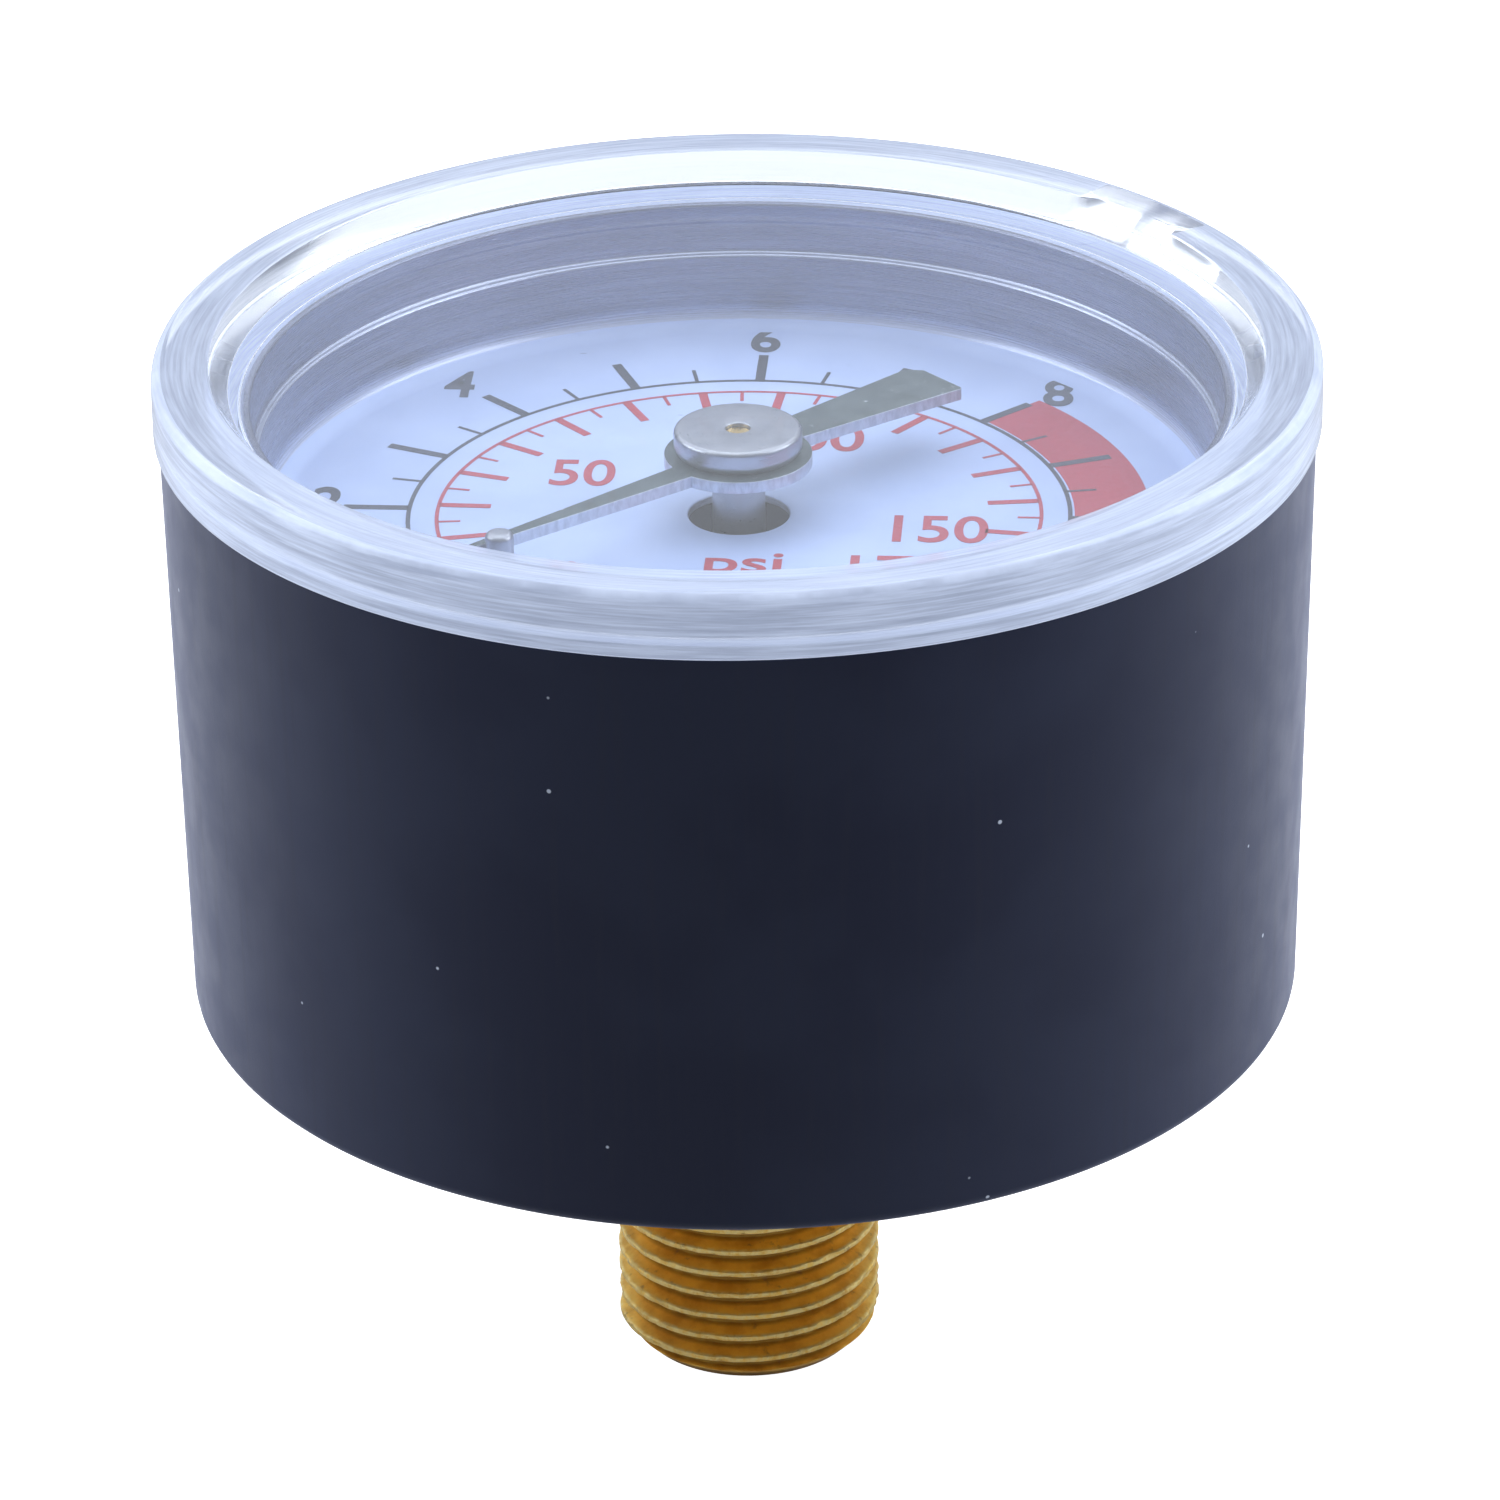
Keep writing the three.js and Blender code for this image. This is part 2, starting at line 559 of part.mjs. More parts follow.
// A pin with a domed top, riveted under the dial.
function stopPin() {
  const at = polar(STOP_PIN_DISTANCE, STOP_PIN_ANGLE);
  const rivetTop = DIAL_FACE - DIAL_THICKNESS - SEAT_GAP;
  return turned([
    [0, rivetTop - STOP_PIN_RIVET_HEIGHT],
    [STOP_PIN_RIVET_RADIUS, rivetTop - STOP_PIN_RIVET_HEIGHT],
    [STOP_PIN_RIVET_RADIUS, rivetTop],
    [STOP_PIN_RADIUS, rivetTop],
    ...cornerRound(STOP_PIN_RADIUS - STOP_PIN_ROUND, STOP_PIN_TOP - STOP_PIN_ROUND, STOP_PIN_ROUND, 0, 90),
    [0, STOP_PIN_TOP],
  ]).translate(at.x, at.y, 0);
}

// ---------- Pointer ----------

// The pointer lies along +X here: a tapering arm, a boss and a tail that widens to a cut end.
function pointer() {
  const bossAngle = (halfWidth) => Math.asin(halfWidth / POINTER_BOSS_RADIUS);
  const armRoot = bossAngle(POINTER_ROOT_HALF_WIDTH);
  const tailRootUp = Math.PI - bossAngle(TAIL_ROOT_HALF_WIDTH - TAIL_OFFSET);
  const tailRootDown = Math.PI + bossAngle(TAIL_ROOT_HALF_WIDTH + TAIL_OFFSET);
  const tailEndDown = -TAIL_END_HALF_WIDTH - TAIL_OFFSET;
  const shape = new THREE.Shape();
  shape.moveTo(POINTER_TIP, -POINTER_TIP_HALF_WIDTH);
  shape.lineTo(POINTER_TIP, POINTER_TIP_HALF_WIDTH);
  shape.absarc(0, 0, POINTER_BOSS_RADIUS, armRoot, tailRootUp, false);
  shape.lineTo(-POINTER_TAIL, TAIL_END_HALF_WIDTH - TAIL_OFFSET);
  shape.lineTo(-POINTER_TAIL, tailEndDown + TAIL_CORNER_CUT);
  shape.lineTo(-POINTER_TAIL + TAIL_CORNER_CUT, tailEndDown);
  shape.absarc(0, 0, POINTER_BOSS_RADIUS, tailRootDown, FULL_TURN - armRoot, false);
  const hole = [CENTRE, SLEEVE_RADIUS + SEAT_GAP];
  return plate(shape, [hole], POINTER_BOTTOM, POINTER_TOP).rotateZ(radians(POINTER_REST_ANGLE));
}

function pointerHub() {
  const bore = PIVOT_RADIUS + SEAT_GAP;
  const discBottom = POINTER_TOP + SEAT_GAP;
  return turned([
    [bore, SLEEVE_BOTTOM],
    [SLEEVE_RADIUS, SLEEVE_BOTTOM],
    [SLEEVE_RADIUS, discBottom],
    ...cornerRound(HUB_RADIUS - HUB_ROUND, discBottom + HUB_ROUND, HUB_ROUND, -90, 0),
    [HUB_RADIUS, HUB_TOP - HUB_TOP_CHAMFER],
    [HUB_RADIUS - HUB_TOP_CHAMFER, HUB_TOP],
    [bore, HUB_TOP],
  ], 2 * SMALL_SEGMENTS);
}

// ---------- Bourdon tube and its linkage ----------

// A closed ring whose section is an upright flattened oval.
function tubeRing(halfThickness, halfHeight) {
  const straight = halfHeight - halfThickness;
  return turned([
    ...cornerRound(TUBE_BEND_RADIUS, TUBE_MIDDLE + straight, halfThickness, 0, 180, 4),
    ...cornerRound(TUBE_BEND_RADIUS, TUBE_MIDDLE - straight, halfThickness, 180, 360, 4),
  ], LARGE_SEGMENTS);
}

function bourdonTube() {
  const outside = tubeRing(TUBE_HALF_THICKNESS, TUBE_HALF_HEIGHT);
  const inside = tubeRing(TUBE_HALF_THICKNESS - TUBE_WALL, TUBE_HALF_HEIGHT - TUBE_WALL);
  const gap = prism(ringPiece(0, 2 * TUBE_BEND_RADIUS, TUBE_START, TUBE_END), 0, 2 * TUBE_MIDDLE);
  return cut(outside, inside, gap);
}

// Closes the tube's free end and carries the link's pin on a tab.
function tubeTip() {
  const top = LINK_BOTTOM - RUNNING_GAP;
  const blockShape = ringPiece(
    TUBE_BEND_RADIUS - TIP_BLOCK_HALF_WIDTH,
    TUBE_BEND_RADIUS + TIP_BLOCK_HALF_WIDTH,
    TIP_BLOCK_END,
    TUBE_END - TIP_BLOCK_GAP_ANGLE,
  );
  const plugShape = ringPiece(
    TUBE_BEND_RADIUS - TIP_PLUG_HALF_WIDTH,
    TUBE_BEND_RADIUS + TIP_PLUG_HALF_WIDTH,
    TUBE_END - TIP_PLUG_ROOT_ANGLE,
    TUBE_END + TIP_PLUG_REACH_ANGLE,
  );
  const tabShape = roundedOutline([TIP_PIN, polar(TUBE_BEND_RADIUS, TIP_PIN_ANGLE)], TIP_TAB_HALF_WIDTH);
  const block = prism(blockShape, TIP_BLOCK_BOTTOM, top);
  const plug = prism(plugShape, TUBE_MIDDLE - TIP_PLUG_HALF_HEIGHT, TUBE_MIDDLE + TIP_PLUG_HALF_HEIGHT);
  const tab = prism(tabShape, TIP_TAB_BOTTOM, top);
  const pinHole = cylinder(
    LINK_PIN_RADIUS + SEAT_GAP, TIP_TAB_BOTTOM - CUT_CLEARANCE, top + CUT_CLEARANCE, TIP_PIN);
  return cut(join(block, plug, tab), pinHole);
}

// A rivet whose head is up.
function rivet(at, bottom, headBottom, headTop) {
  return turned([
    [0, bottom],
    [LINK_PIN_RADIUS, bottom],
    [LINK_PIN_RADIUS, headBottom],
    [LINK_PIN_HEAD_RADIUS, headBottom],
    [LINK_PIN_HEAD_RADIUS, headTop - LINK_PIN_HEAD_CHAMFER],
    [LINK_PIN_HEAD_RADIUS - LINK_PIN_HEAD_CHAMFER, headTop],
    [0, headTop],
  ]).translate(at.x, at.y, 0);
}

function tipPin() {
  return rivet(TIP_PIN, TIP_TAB_BOTTOM + RUNNING_GAP, LINK_TOP + RUNNING_GAP, LINK_TOP + TIP_PIN_HEAD_TOP);
}

// Its head bears on the sector's tail, which lies over the link.
function linkPin() {
  return rivet(TAIL_PIN, LINK_BOTTOM, SECTOR_TOP + LINK_PIN_HEAD_GAP, SECTOR_TOP + LINK_PIN_HEAD_TOP);
}

function link() {
  const holes = [
    [TIP_PIN, LINK_PIN_RADIUS + RUNNING_GAP],
    [TAIL_PIN, LINK_PIN_RADIUS + SEAT_GAP],
  ];
  return plate(roundedOutline([TIP_PIN, TAIL_PIN], LINK_HALF_WIDTH), holes, LINK_BOTTOM, LINK_TOP);
}

// ---------- Movement ----------

// The sector is drawn about its own arbor and moved to its place at the end.
function sector() {
  const facing = SECTOR_DIRECTION + 180;
  const toothPitch = 360 / SECTOR_FULL_TEETH;
  const from = facing + (SECTOR_FIRST_TOOTH - 0.5) * toothPitch;
  const to = facing + (SECTOR_LAST_TOOTH + 0.5) * toothPitch;
  const teeth = toothOutline(SECTOR_FULL_TEETH, SECTOR_FIRST_TOOTH, SECTOR_LAST_TOOTH, facing);
  const slab = (shape) => prism(shape, SECTOR_BOTTOM, SECTOR_TOP);
  const hole = (radius, at) => cylinder(
    radius, SECTOR_BOTTOM - CUT_CLEARANCE, SECTOR_TOP + CUT_CLEARANCE, at);
  const tailEnd = polar(SECTOR_TAIL_LENGTH, SECTOR_TAIL_ANGLE);
  const fan = slab(new THREE.Shape([CENTRE, ...teeth]));
  const boss = cylinder(SECTOR_BOSS_RADIUS, SECTOR_BOTTOM, SECTOR_TOP);
  const tail = slab(roundedOutline([CENTRE, tailEnd], SECTOR_TAIL_HALF_WIDTH));
  const openingShape = ringPiece(
    SECTOR_OPENING_INNER, SECTOR_OPENING_OUTER, from + SECTOR_SPOKE_ANGLE, to - SECTOR_SPOKE_ANGLE);
  const opening = prism(openingShape, SECTOR_BOTTOM - CUT_CLEARANCE, SECTOR_TOP + CUT_CLEARANCE);
  const arborHole = hole(ARBOR_RADIUS + SEAT_GAP, CENTRE);
  const tailHole = hole(TAIL_HOLE_RADIUS, tailEnd);
  return cut(join(fan, boss, tail), opening, arborHole, tailHole)
    .translate(SECTOR_CENTRE.x, SECTOR_CENTRE.y, 0);
}

// A shaft held between the plates, with thinner pivots that run in them.
function arbor(top) {
  return turned([
    [0, BACK_PLATE_BOTTOM + END_PLAY],
    [PIVOT_RADIUS, BACK_PLATE_BOTTOM + END_PLAY],
    [PIVOT_RADIUS, BACK_PLATE_TOP + END_PLAY],
    [ARBOR_RADIUS, BACK_PLATE_TOP + END_PLAY],
    [ARBOR_RADIUS, FRONT_PLATE_BOTTOM - END_PLAY],
    [PIVOT_RADIUS, FRONT_PLATE_BOTTOM - END_PLAY],
    [PIVOT_RADIUS, top],
    [0, top],
  ]);
}

function sectorArbor() {
  return arbor(FRONT_PLATE_TOP).translate(SECTOR_CENTRE.x, SECTOR_CENTRE.y, 0);
}

function pinionArbor() {
  const firstGap = SECTOR_DIRECTION + 180 / PINION_TEETH;
  const outline = new THREE.Shape(toothOutline(PINION_TEETH, 0, PINION_TEETH - 1, firstGap));
  const pinion = prism(outline, SECTOR_BOTTOM - PINION_OVERHANG, SECTOR_TOP + PINION_OVERHANG);
  return join(arbor(PINION_ARBOR_TOP), pinion);
}

function pivotHole(at) {
  return [at, PIVOT_RADIUS + RUNNING_GAP];
}

function backPlate() {
  const corners = [SECTOR_CENTRE, PILLARS[1], MOVEMENT_SCREWS[0], PILLARS[0], MOVEMENT_SCREWS[1]];
  const holes = [
    pivotHole(CENTRE),
    pivotHole(SECTOR_CENTRE),
    ...PILLARS.map((at) => [at, PILLAR_SPIGOT_RADIUS + SEAT_GAP]),
    ...MOVEMENT_SCREWS.map((at) => [at, MOVEMENT_SCREW.shankRadius + SCREW_PLAY]),
  ];
  return plate(roundedOutline(corners, PLATE_EDGE), holes, BACK_PLATE_BOTTOM, BACK_PLATE_TOP);
}

function frontPlate() {
  const corners = [SECTOR_CENTRE, PILLARS[1], PILLARS[0]];
  const holes = [
    pivotHole(CENTRE),
    pivotHole(SECTOR_CENTRE),
    ...PILLARS.map((at) => [at, PLATE_SCREW.shankRadius + SCREW_PLAY]),
  ];
  return plate(roundedOutline(corners, PLATE_EDGE), holes, FRONT_PLATE_BOTTOM, FRONT_PLATE_TOP);
}

function pillar(at) {
  return turned([
    [0, BACK_PLATE_BOTTOM + RUNNING_GAP],
    [PILLAR_SPIGOT_RADIUS, BACK_PLATE_BOTTOM + RUNNING_GAP],
    [PILLAR_SPIGOT_RADIUS, BACK_PLATE_TOP + SEAT_GAP],
    [PILLAR_RADIUS, BACK_PLATE_TOP + SEAT_GAP],
    [PILLAR_RADIUS, FRONT_PLATE_BOTTOM - SEAT_GAP],
    [PILLAR_TAPPED_RADIUS, FRONT_PLATE_BOTTOM - SEAT_GAP],
    [PILLAR_TAPPED_RADIUS, FRONT_PLATE_BOTTOM - PILLAR_TAPPED_DEPTH],
    [0, FRONT_PLATE_BOTTOM - PILLAR_TAPPED_DEPTH - SCREW_HOLE_SPARE],
  ]).translate(at.x, at.y, 0);
}

// A slotted screw that enters downwards. Its head stands on seat.
function screw(at, seat, { headRadius, headHeight, shankRadius, shankLength }) {
  const body = turned([
    [0, seat - shankLength],
    [shankRadius * 0.7, seat - shankLength],
    [shankRadius, seat - shankLength + shankRadius * 0.4],
    [shankRadius, seat],
    [headRadius, seat],
    [headRadius, seat + headHeight * 0.65],
    [headRadius * 0.8, seat + headHeight],
    [0, seat + headHeight],
  ]);
  const slot = new THREE.BoxGeometry(3 * headRadius, headRadius * 0.3, headHeight);
  slot.translate(0, 0, seat + headHeight);
  return cut(body, weld(slot)).translate(at.x, at.y, 0);
}

function plateScrew(at) {
  return screw(at, FRONT_PLATE_TOP + SEAT_GAP, PLATE_SCREW);
}

function movementScrew(at) {
  return screw(at, BACK_PLATE_TOP + SEAT_GAP, MOVEMENT_SCREW);
}

// The same screw put in from behind the case, so its head is below and its shank points up.
function caseScrew(at) {
  const upright = screw(new THREE.Vector2(at.x, -at.y), 0, CASE_SCREW);
  return upright.rotateX(Math.PI).translate(0, 0, CASE_BACK - SEAT_GAP);
}

function hairspring() {
  const steps = SPRING_TURNS * SMALL_SEGMENTS;
  const edge = (offset) => Array.from({ length: steps + 1 }, (_, i) => {
    const share = i / steps;
    const angle = STUD_ANGLE + 360 * SPRING_TURNS * (share - 1);
    return polar(SPRING_INNER + (SPRING_OUTER - SPRING_INNER) * share + offset, angle);
  });
  const shape = new THREE.Shape([...edge(0), ...edge(SPRING_THICKNESS).reverse()]);
  return prism(shape, SPRING_BOTTOM, SPRING_TOP);
}

function springCollet() {
  const inner = ARBOR_RADIUS + SEAT_GAP;
  const bottom = SPRING_BOTTOM - COLLET_BELOW_SPRING;
  const top = SPRING_TOP + COLLET_ABOVE_SPRING;
  return turned([[inner, bottom], [COLLET_RADIUS, bottom], [COLLET_RADIUS, top], [inner, top]]);
}

function springStud() {
  const at = polar(SPRING_OUTER + SPRING_THICKNESS + STUD_RADIUS + SEAT_GAP, STUD_ANGLE);
  return cylinder(STUD_RADIUS, SPRING_BOTTOM - STUD_BELOW_SPRING, FRONT_PLATE_BOTTOM - SEAT_GAP, at);
}

// ---------- Materials and assembly ----------

function material(color, metalness, roughness) {
  return () => new THREE.MeshStandardMaterial({ color, metalness, roughness });
}

const blackPlastic = material(0x24283a, 0, 0.6);
const clearPlastic = () => {
  const clear = material(0xdde6f5, 0, 0.1)();
  clear.transparent = true;
  clear.opacity = 0.35;
  return clear;
};
const dialSheet = material(0xe8eef8, 0.2, 0.5);
const brass = material(0xb5913a, 1, 0.35);
const bronze = material(0xa8783c, 1, 0.4);
const steel = material(0xb9bcc2, 1, 0.35);
const nickel = material(0xc9ccd2, 1, 0.25);
const pointerPaint = material(0x3f4a4e, 0.3, 0.5);

const pieces = [
  ['case', gaugeCase(), blackPlastic],
  ['window', gaugeWindow(), clearPlastic],
  ['dial', dial(), dialSheet],
  ['stop_pin', stopPin(), nickel],
  ['socket', socket(), brass],
  ['case_screw_1', caseScrew(CASE_SCREWS[0]), steel],
  ['case_screw_2', caseScrew(CASE_SCREWS[1]), steel],
  ['bourdon_tube', bourdonTube(), bronze],
  ['tube_tip', tubeTip(), brass],
  ['tip_pin', tipPin(), steel],
  ['link', link(), brass],
  ['link_pin', linkPin(), steel],
  ['sector', sector(), brass],
  ['sector_arbor', sectorArbor(), steel],
  ['pinion_arbor', pinionArbor(), brass],
  ['back_plate', backPlate(), brass],
  ['front_plate', frontPlate(), brass],
  ['pillar_1', pillar(PILLARS[0]), brass],
  ['pillar_2', pillar(PILLARS[1]), brass],
  ['plate_screw_1', plateScrew(PILLARS[0]), steel],
  ['plate_screw_2', plateScrew(PILLARS[1]), steel],
  ['movement_screw_1', movementScrew(MOVEMENT_SCREWS[0]), steel],
  ['movement_screw_2', movementScrew(MOVEMENT_SCREWS[1]), steel],
  ['hairspring', hairspring(), bronze],
  ['hairspring_collet', springCollet(), brass],
  ['hairspring_stud', springStud(), brass],
  ['pointer', pointer(), pointerPaint],
  ['pointer_hub', pointerHub(), nickel],
];

const gauge = new THREE.Group();
for (const [name, geometry, finish] of pieces) {
  const piece = new THREE.Mesh(geometry, finish());
  piece.name = name;
  gauge.add(piece);
}

export default gauge;
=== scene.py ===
"""Looks for a 40 mm pressure gauge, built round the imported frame. Lengths are in millimetres."""
import json
import math

import bmesh
import bpy
from mathutils import Matrix, Vector, noise

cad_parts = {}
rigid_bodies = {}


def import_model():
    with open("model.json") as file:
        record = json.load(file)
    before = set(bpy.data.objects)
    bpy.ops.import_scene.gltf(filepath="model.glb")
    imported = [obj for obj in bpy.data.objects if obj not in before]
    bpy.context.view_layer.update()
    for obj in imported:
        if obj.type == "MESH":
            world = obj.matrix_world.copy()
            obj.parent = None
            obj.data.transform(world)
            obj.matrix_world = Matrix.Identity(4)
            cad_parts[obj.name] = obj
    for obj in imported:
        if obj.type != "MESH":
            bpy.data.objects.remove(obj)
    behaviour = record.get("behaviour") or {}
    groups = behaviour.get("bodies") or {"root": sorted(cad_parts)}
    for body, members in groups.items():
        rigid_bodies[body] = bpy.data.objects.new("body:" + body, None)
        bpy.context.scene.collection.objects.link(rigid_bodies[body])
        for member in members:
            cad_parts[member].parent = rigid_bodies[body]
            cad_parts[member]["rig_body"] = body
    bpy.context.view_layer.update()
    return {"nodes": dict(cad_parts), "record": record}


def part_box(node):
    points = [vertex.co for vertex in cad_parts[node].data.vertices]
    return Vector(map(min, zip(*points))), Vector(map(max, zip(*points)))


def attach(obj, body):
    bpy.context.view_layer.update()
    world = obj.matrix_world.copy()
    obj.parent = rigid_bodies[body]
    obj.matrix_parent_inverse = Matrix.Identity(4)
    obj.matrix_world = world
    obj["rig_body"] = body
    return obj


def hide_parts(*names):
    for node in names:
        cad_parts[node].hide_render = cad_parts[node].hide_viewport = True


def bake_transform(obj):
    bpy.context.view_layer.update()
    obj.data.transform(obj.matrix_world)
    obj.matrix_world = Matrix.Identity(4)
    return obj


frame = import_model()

MM = 0.001
FULL_TURN = 2 * math.pi
SMOOTH_ANGLE = math.radians(32)  # edges that turn more than this stay sharp
FINE = 240  # segments round the large turned pieces
MEDIUM = 96  # segments round the hub, pins and screws

# Camera: where it stands and how it is turned
CAMERA_PLACE = (18.45, -258.51, 151.38)
CAMERA_PITCH = -26.185
CAMERA_HEADING = 4.02
CAMERA_ROLL = -0.749
CAMERA_LENS = 190.8
FLOOR_HALF_SIZE = 3.0  # in metres
FLOOR_GLOW = 0.92  # whitens the floor for the camera only, so that the object isn't lit from below


def reach(node):
    """Lowest height, highest height and outer radius of a round CAD node centred on the axis."""
    low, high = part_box(node)
    return low.z / MM, high.z / MM, high.x / MM


def middle(node):
    """Centre of a CAD node, seen along the axis."""
    low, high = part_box(node)
    return Vector(((low.x + high.x) / 2 / MM, (low.y + high.y) / 2 / MM))


CASE_BACK, CASE_RIM, CASE_RIM_RADIUS = reach("case")
WINDOW_LOW, WINDOW_TOP, WINDOW_RADIUS = reach("window")
DIAL_LOW, DIAL_TOP, DIAL_OUTER = reach("dial")
HUB_LOW, HUB_TOP, HUB_RADIUS = reach("pointer_hub")
POINTER_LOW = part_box("pointer")[0].z / MM
POINTER_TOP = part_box("pointer")[1].z / MM
PIN_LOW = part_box("stop_pin")[0].z / MM
PIN_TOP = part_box("stop_pin")[1].z / MM

# Case
CASE_BACK_RADIUS = 20.19
CASE_FLOOR = 16.8
CASE_INNER_RADIUS = 18.5
WINDOW_SEAT_RADIUS = 18.95
WINDOW_SEAT = 34.2
NECK_HOLE = 6.4
SCREW_HOLE = 1.5
RIB_COUNT = 6
RIB_INNER_RADIUS = 16.3
RIB_THICKNESS = 1.2
RIB_ROOT = 0.4  # how far a rib runs into the wall and the floor
RIB_TOP = DIAL_LOW - 0.02

# Window
PANE_BOTTOM = 37.35
PANE_TOP = 38.85
PANE_RADIUS = 18.05
LIP_RADIUS = 18.75
FLANGE_BOTTOM = 37.42
SKIRT_INNER = 17.75
SKIRT_OUTER = 18.85
SKIRT_CHAMFER = 0.4
GATE_FROM = 36  # the moulding gate's pad on the rim, in degrees
GATE_TO = 51

# Dial pan
DIAL_SHEET = 0.3
DIAL_FACE = DIAL_LOW + DIAL_SHEET
DIAL_CORNER = 0.8
DIAL_WALL = 17.05
DIAL_STEP = 35.3
DIAL_RIM = DIAL_OUTER - DIAL_SHEET
DIAL_HOLE = 1.82
PIN_HOLE = 0.52
PIN_RADIUS = 0.5
PIN_FOOT_RADIUS = 0.75
PIN_FOOT_HEIGHT = 0.3

# Scale, in degrees anticlockwise from 3 o'clock
ZERO_ANGLE = 225
BAR_ANGLE = 22.5
FULL_SCALE = 12
PSI_PER_BAR = 14.5038
INK_LIFT = 0.008
INK_THICKNESS = 0.008
BAR_BOLDNESS = 0.023  # that each stroke of a letter is fattened by, for a letter size of 1
PSI_BOLDNESS = 0.012
BAR_RING = (11.78, 11.94)  # inner and outer radius
BAR_TICK_START = 11.9
BAR_TICK_END = 14.24
HALF_BAR_TICK_END = 12.98
BAR_TICK_WIDTH = 0.36
HALF_BAR_TICK_WIDTH = 0.14
BAR_DIGIT_WIDTH = 1.12
BAR_DIGIT_GAP = 0.1
BAR_DIGIT_HEIGHT = 2.4
PSI_RING = (10.76, 10.90)
PSI_TICK_START = 10.8
TEN_PSI_TICK_END = 8.95
FIVE_PSI_TICK_END = 9.98
TEN_PSI_TICK_WIDTH = 0.33
FIVE_PSI_TICK_WIDTH = 0.13
PSI_DIGIT_HEIGHT = 2.3
RED_ZONE = (12.02, 14.75)
RED_ZONE_START = 8  # in bar
RING_STEPS = 140

# Pointer
POINTER_ANGLE = -136.5
BOSS_RADIUS = 2.65
POINTER_TIP = 12.1
ARM_ROOT_HALF_WIDTH = 0.53
TIP_HALF_WIDTH = 0.15
POINTER_TAIL = 9.77
TAIL_ROOT_HALF_WIDTH = 0.82
TAIL_END_HALF_WIDTH = 1.34
TAIL_OFFSET = 0.33
TAIL_CORNER_CUT = 0.5
SLEEVE_RADIUS = 0.95
HUB_BORE = 0.44

# Stem
THREAD_RADIUS = 4.864
THREAD_CORE = 4.283
THREAD_PITCH = 0.907
THREAD_TOP = 9.3
THREAD_CHAMFER = 0.8
RELIEF_CONE = 9.55
RELIEF_CONE_RADIUS = 4.9
SQUARE_BOTTOM = 10
SQUARE_TOP = 15.1
SQUARE_WIDTH = 12
SQUARE_CORNER_CUT = 1.3
NECK_RADIUS = 6.3
BAR_DIRECTION = 45
BAR_HALF_WIDTH = 4.5
BAR_LENGTH = 12
BAR_BOTTOM = 16.85
BAR_TOP = 22
TUBE_BLOCK_TOP = 24.2
TUBE_BLOCK_INNER = 12
TUBE_BLOCK_OUTER = 16
BORE_RADIUS = 1.25
CROSS_BORE_RADIUS = 0.8
CASE_SCREW_DEPTH = 18.98
CASE_SCREW_HOLE = 1.35
MOVEMENT_SCREW_DEPTH = 19.42
MOVEMENT_SCREW_HOLE = 0.75

# Screws: shank radius and head height
CASE_SCREW = (1.3, 1.3)
PLATE_SCREW = (0.5, 0.8)
MOVEMENT_SCREW = (0.7, 0.9)

# Bourdon tube, an arc that runs clockwise from start to end
TUBE_BEND_RADIUS = 14.2
TUBE_MIDDLE = 20.6
TUBE_HALF_THICKNESS = 0.85
TUBE_HALF_HEIGHT = 2.8
TUBE_WALL = 0.3
TUBE_START = 219
TUBE_END = -22
TUBE_SLOT_END = 229


# ---------- Mesh helpers ----------

def polar(radius, degrees):
    return Vector((radius * math.cos(math.radians(degrees)), radius * math.sin(math.radians(degrees))))


def rounded(corners, closed=True, steps=5):
    """Outline of a polygon of (x, y, round radius) corners, each corner turned into an arc."""
    outline = []
    count = len(corners)
    for i, (x, y, size) in enumerate(corners):
        here = Vector((x, y))
        if size == 0 or (not closed and i in (0, count - 1)):
            outline.append(here)
            continue
        before = (Vector(corners[i - 1][:2]) - here).normalized()
        after = (Vector(corners[(i + 1) % count][:2]) - here).normalized()
        half = before.angle(after) / 2
        centre = here + (before + after).normalized() * (size / math.sin(half))
        start = here + before * (size / math.tan(half)) - centre
        end = here + after * (size / math.tan(half)) - centre
        first = math.atan2(start.y, start.x)
        sweep = math.remainder(math.atan2(end.y, end.x) - first, FULL_TURN)
        for step in range(steps + 1):
            turn = first + sweep * step / steps
            outline.append(centre + Vector((math.cos(turn), math.sin(turn))) * size)
    return outline


def turned(profile, segments=FINE, warp=None):
    """Vertices and faces of a profile of (radius, height) turned about the axis.

    The profile ends on the axis or closes on itself. warp changes a point: warp(radius, height, angle).
    """
    on_axis = profile[0][0] < 1e-6
    vertices = []
    rings = []
    for radius, height in profile:
        if radius < 1e-6:
            vertices.append((0, 0, height))
            rings.append([len(vertices) - 1] * segments)
            continue
        ring = []
        for k in range(segments):
            angle = FULL_TURN * k / segments
            r, z = warp(radius, height, angle) if warp else (radius, height)
            ring.append(len(vertices))
            vertices.append((r * math.cos(angle), r * math.sin(angle), z))
        rings.append(ring)
    if not on_axis:
        rings.append(rings[0])
    faces = []
    for lower, upper in zip(rings, rings[1:]):
        for k in range(segments):
            n = (k + 1) % segments
            face = [lower[k], lower[n], upper[n], upper[k]]
            unique = list(dict.fromkeys(face))
            if len(unique) > 2:
                faces.append(unique)
    return vertices, faces


def mesh_from(name, vertices, faces):
    """A mesh in metres from vertices in millimetres, with its faces pointing out."""
    mesh = bpy.data.meshes.new(name)
    mesh.from_pydata([Vector(v) * MM for v in vertices], [], faces)
    tidy(mesh)
    return mesh


def tidy(mesh):
    """Joins points that coincide, turns the faces out, and marks the sharp edges."""
    work = bmesh.new()
    work.from_mesh(mesh)
    bmesh.ops.remove_doubles(work, verts=work.verts, dist=1e-7)
    bmesh.ops.recalc_face_normals(work, faces=work.faces)
    for face in work.faces:
        face.smooth = True
    for edge in work.edges:
        edge.smooth = len(edge.link_faces) == 2 and edge.calc_face_angle() < SMOOTH_ANGLE
    work.to_mesh(mesh)
    work.free()


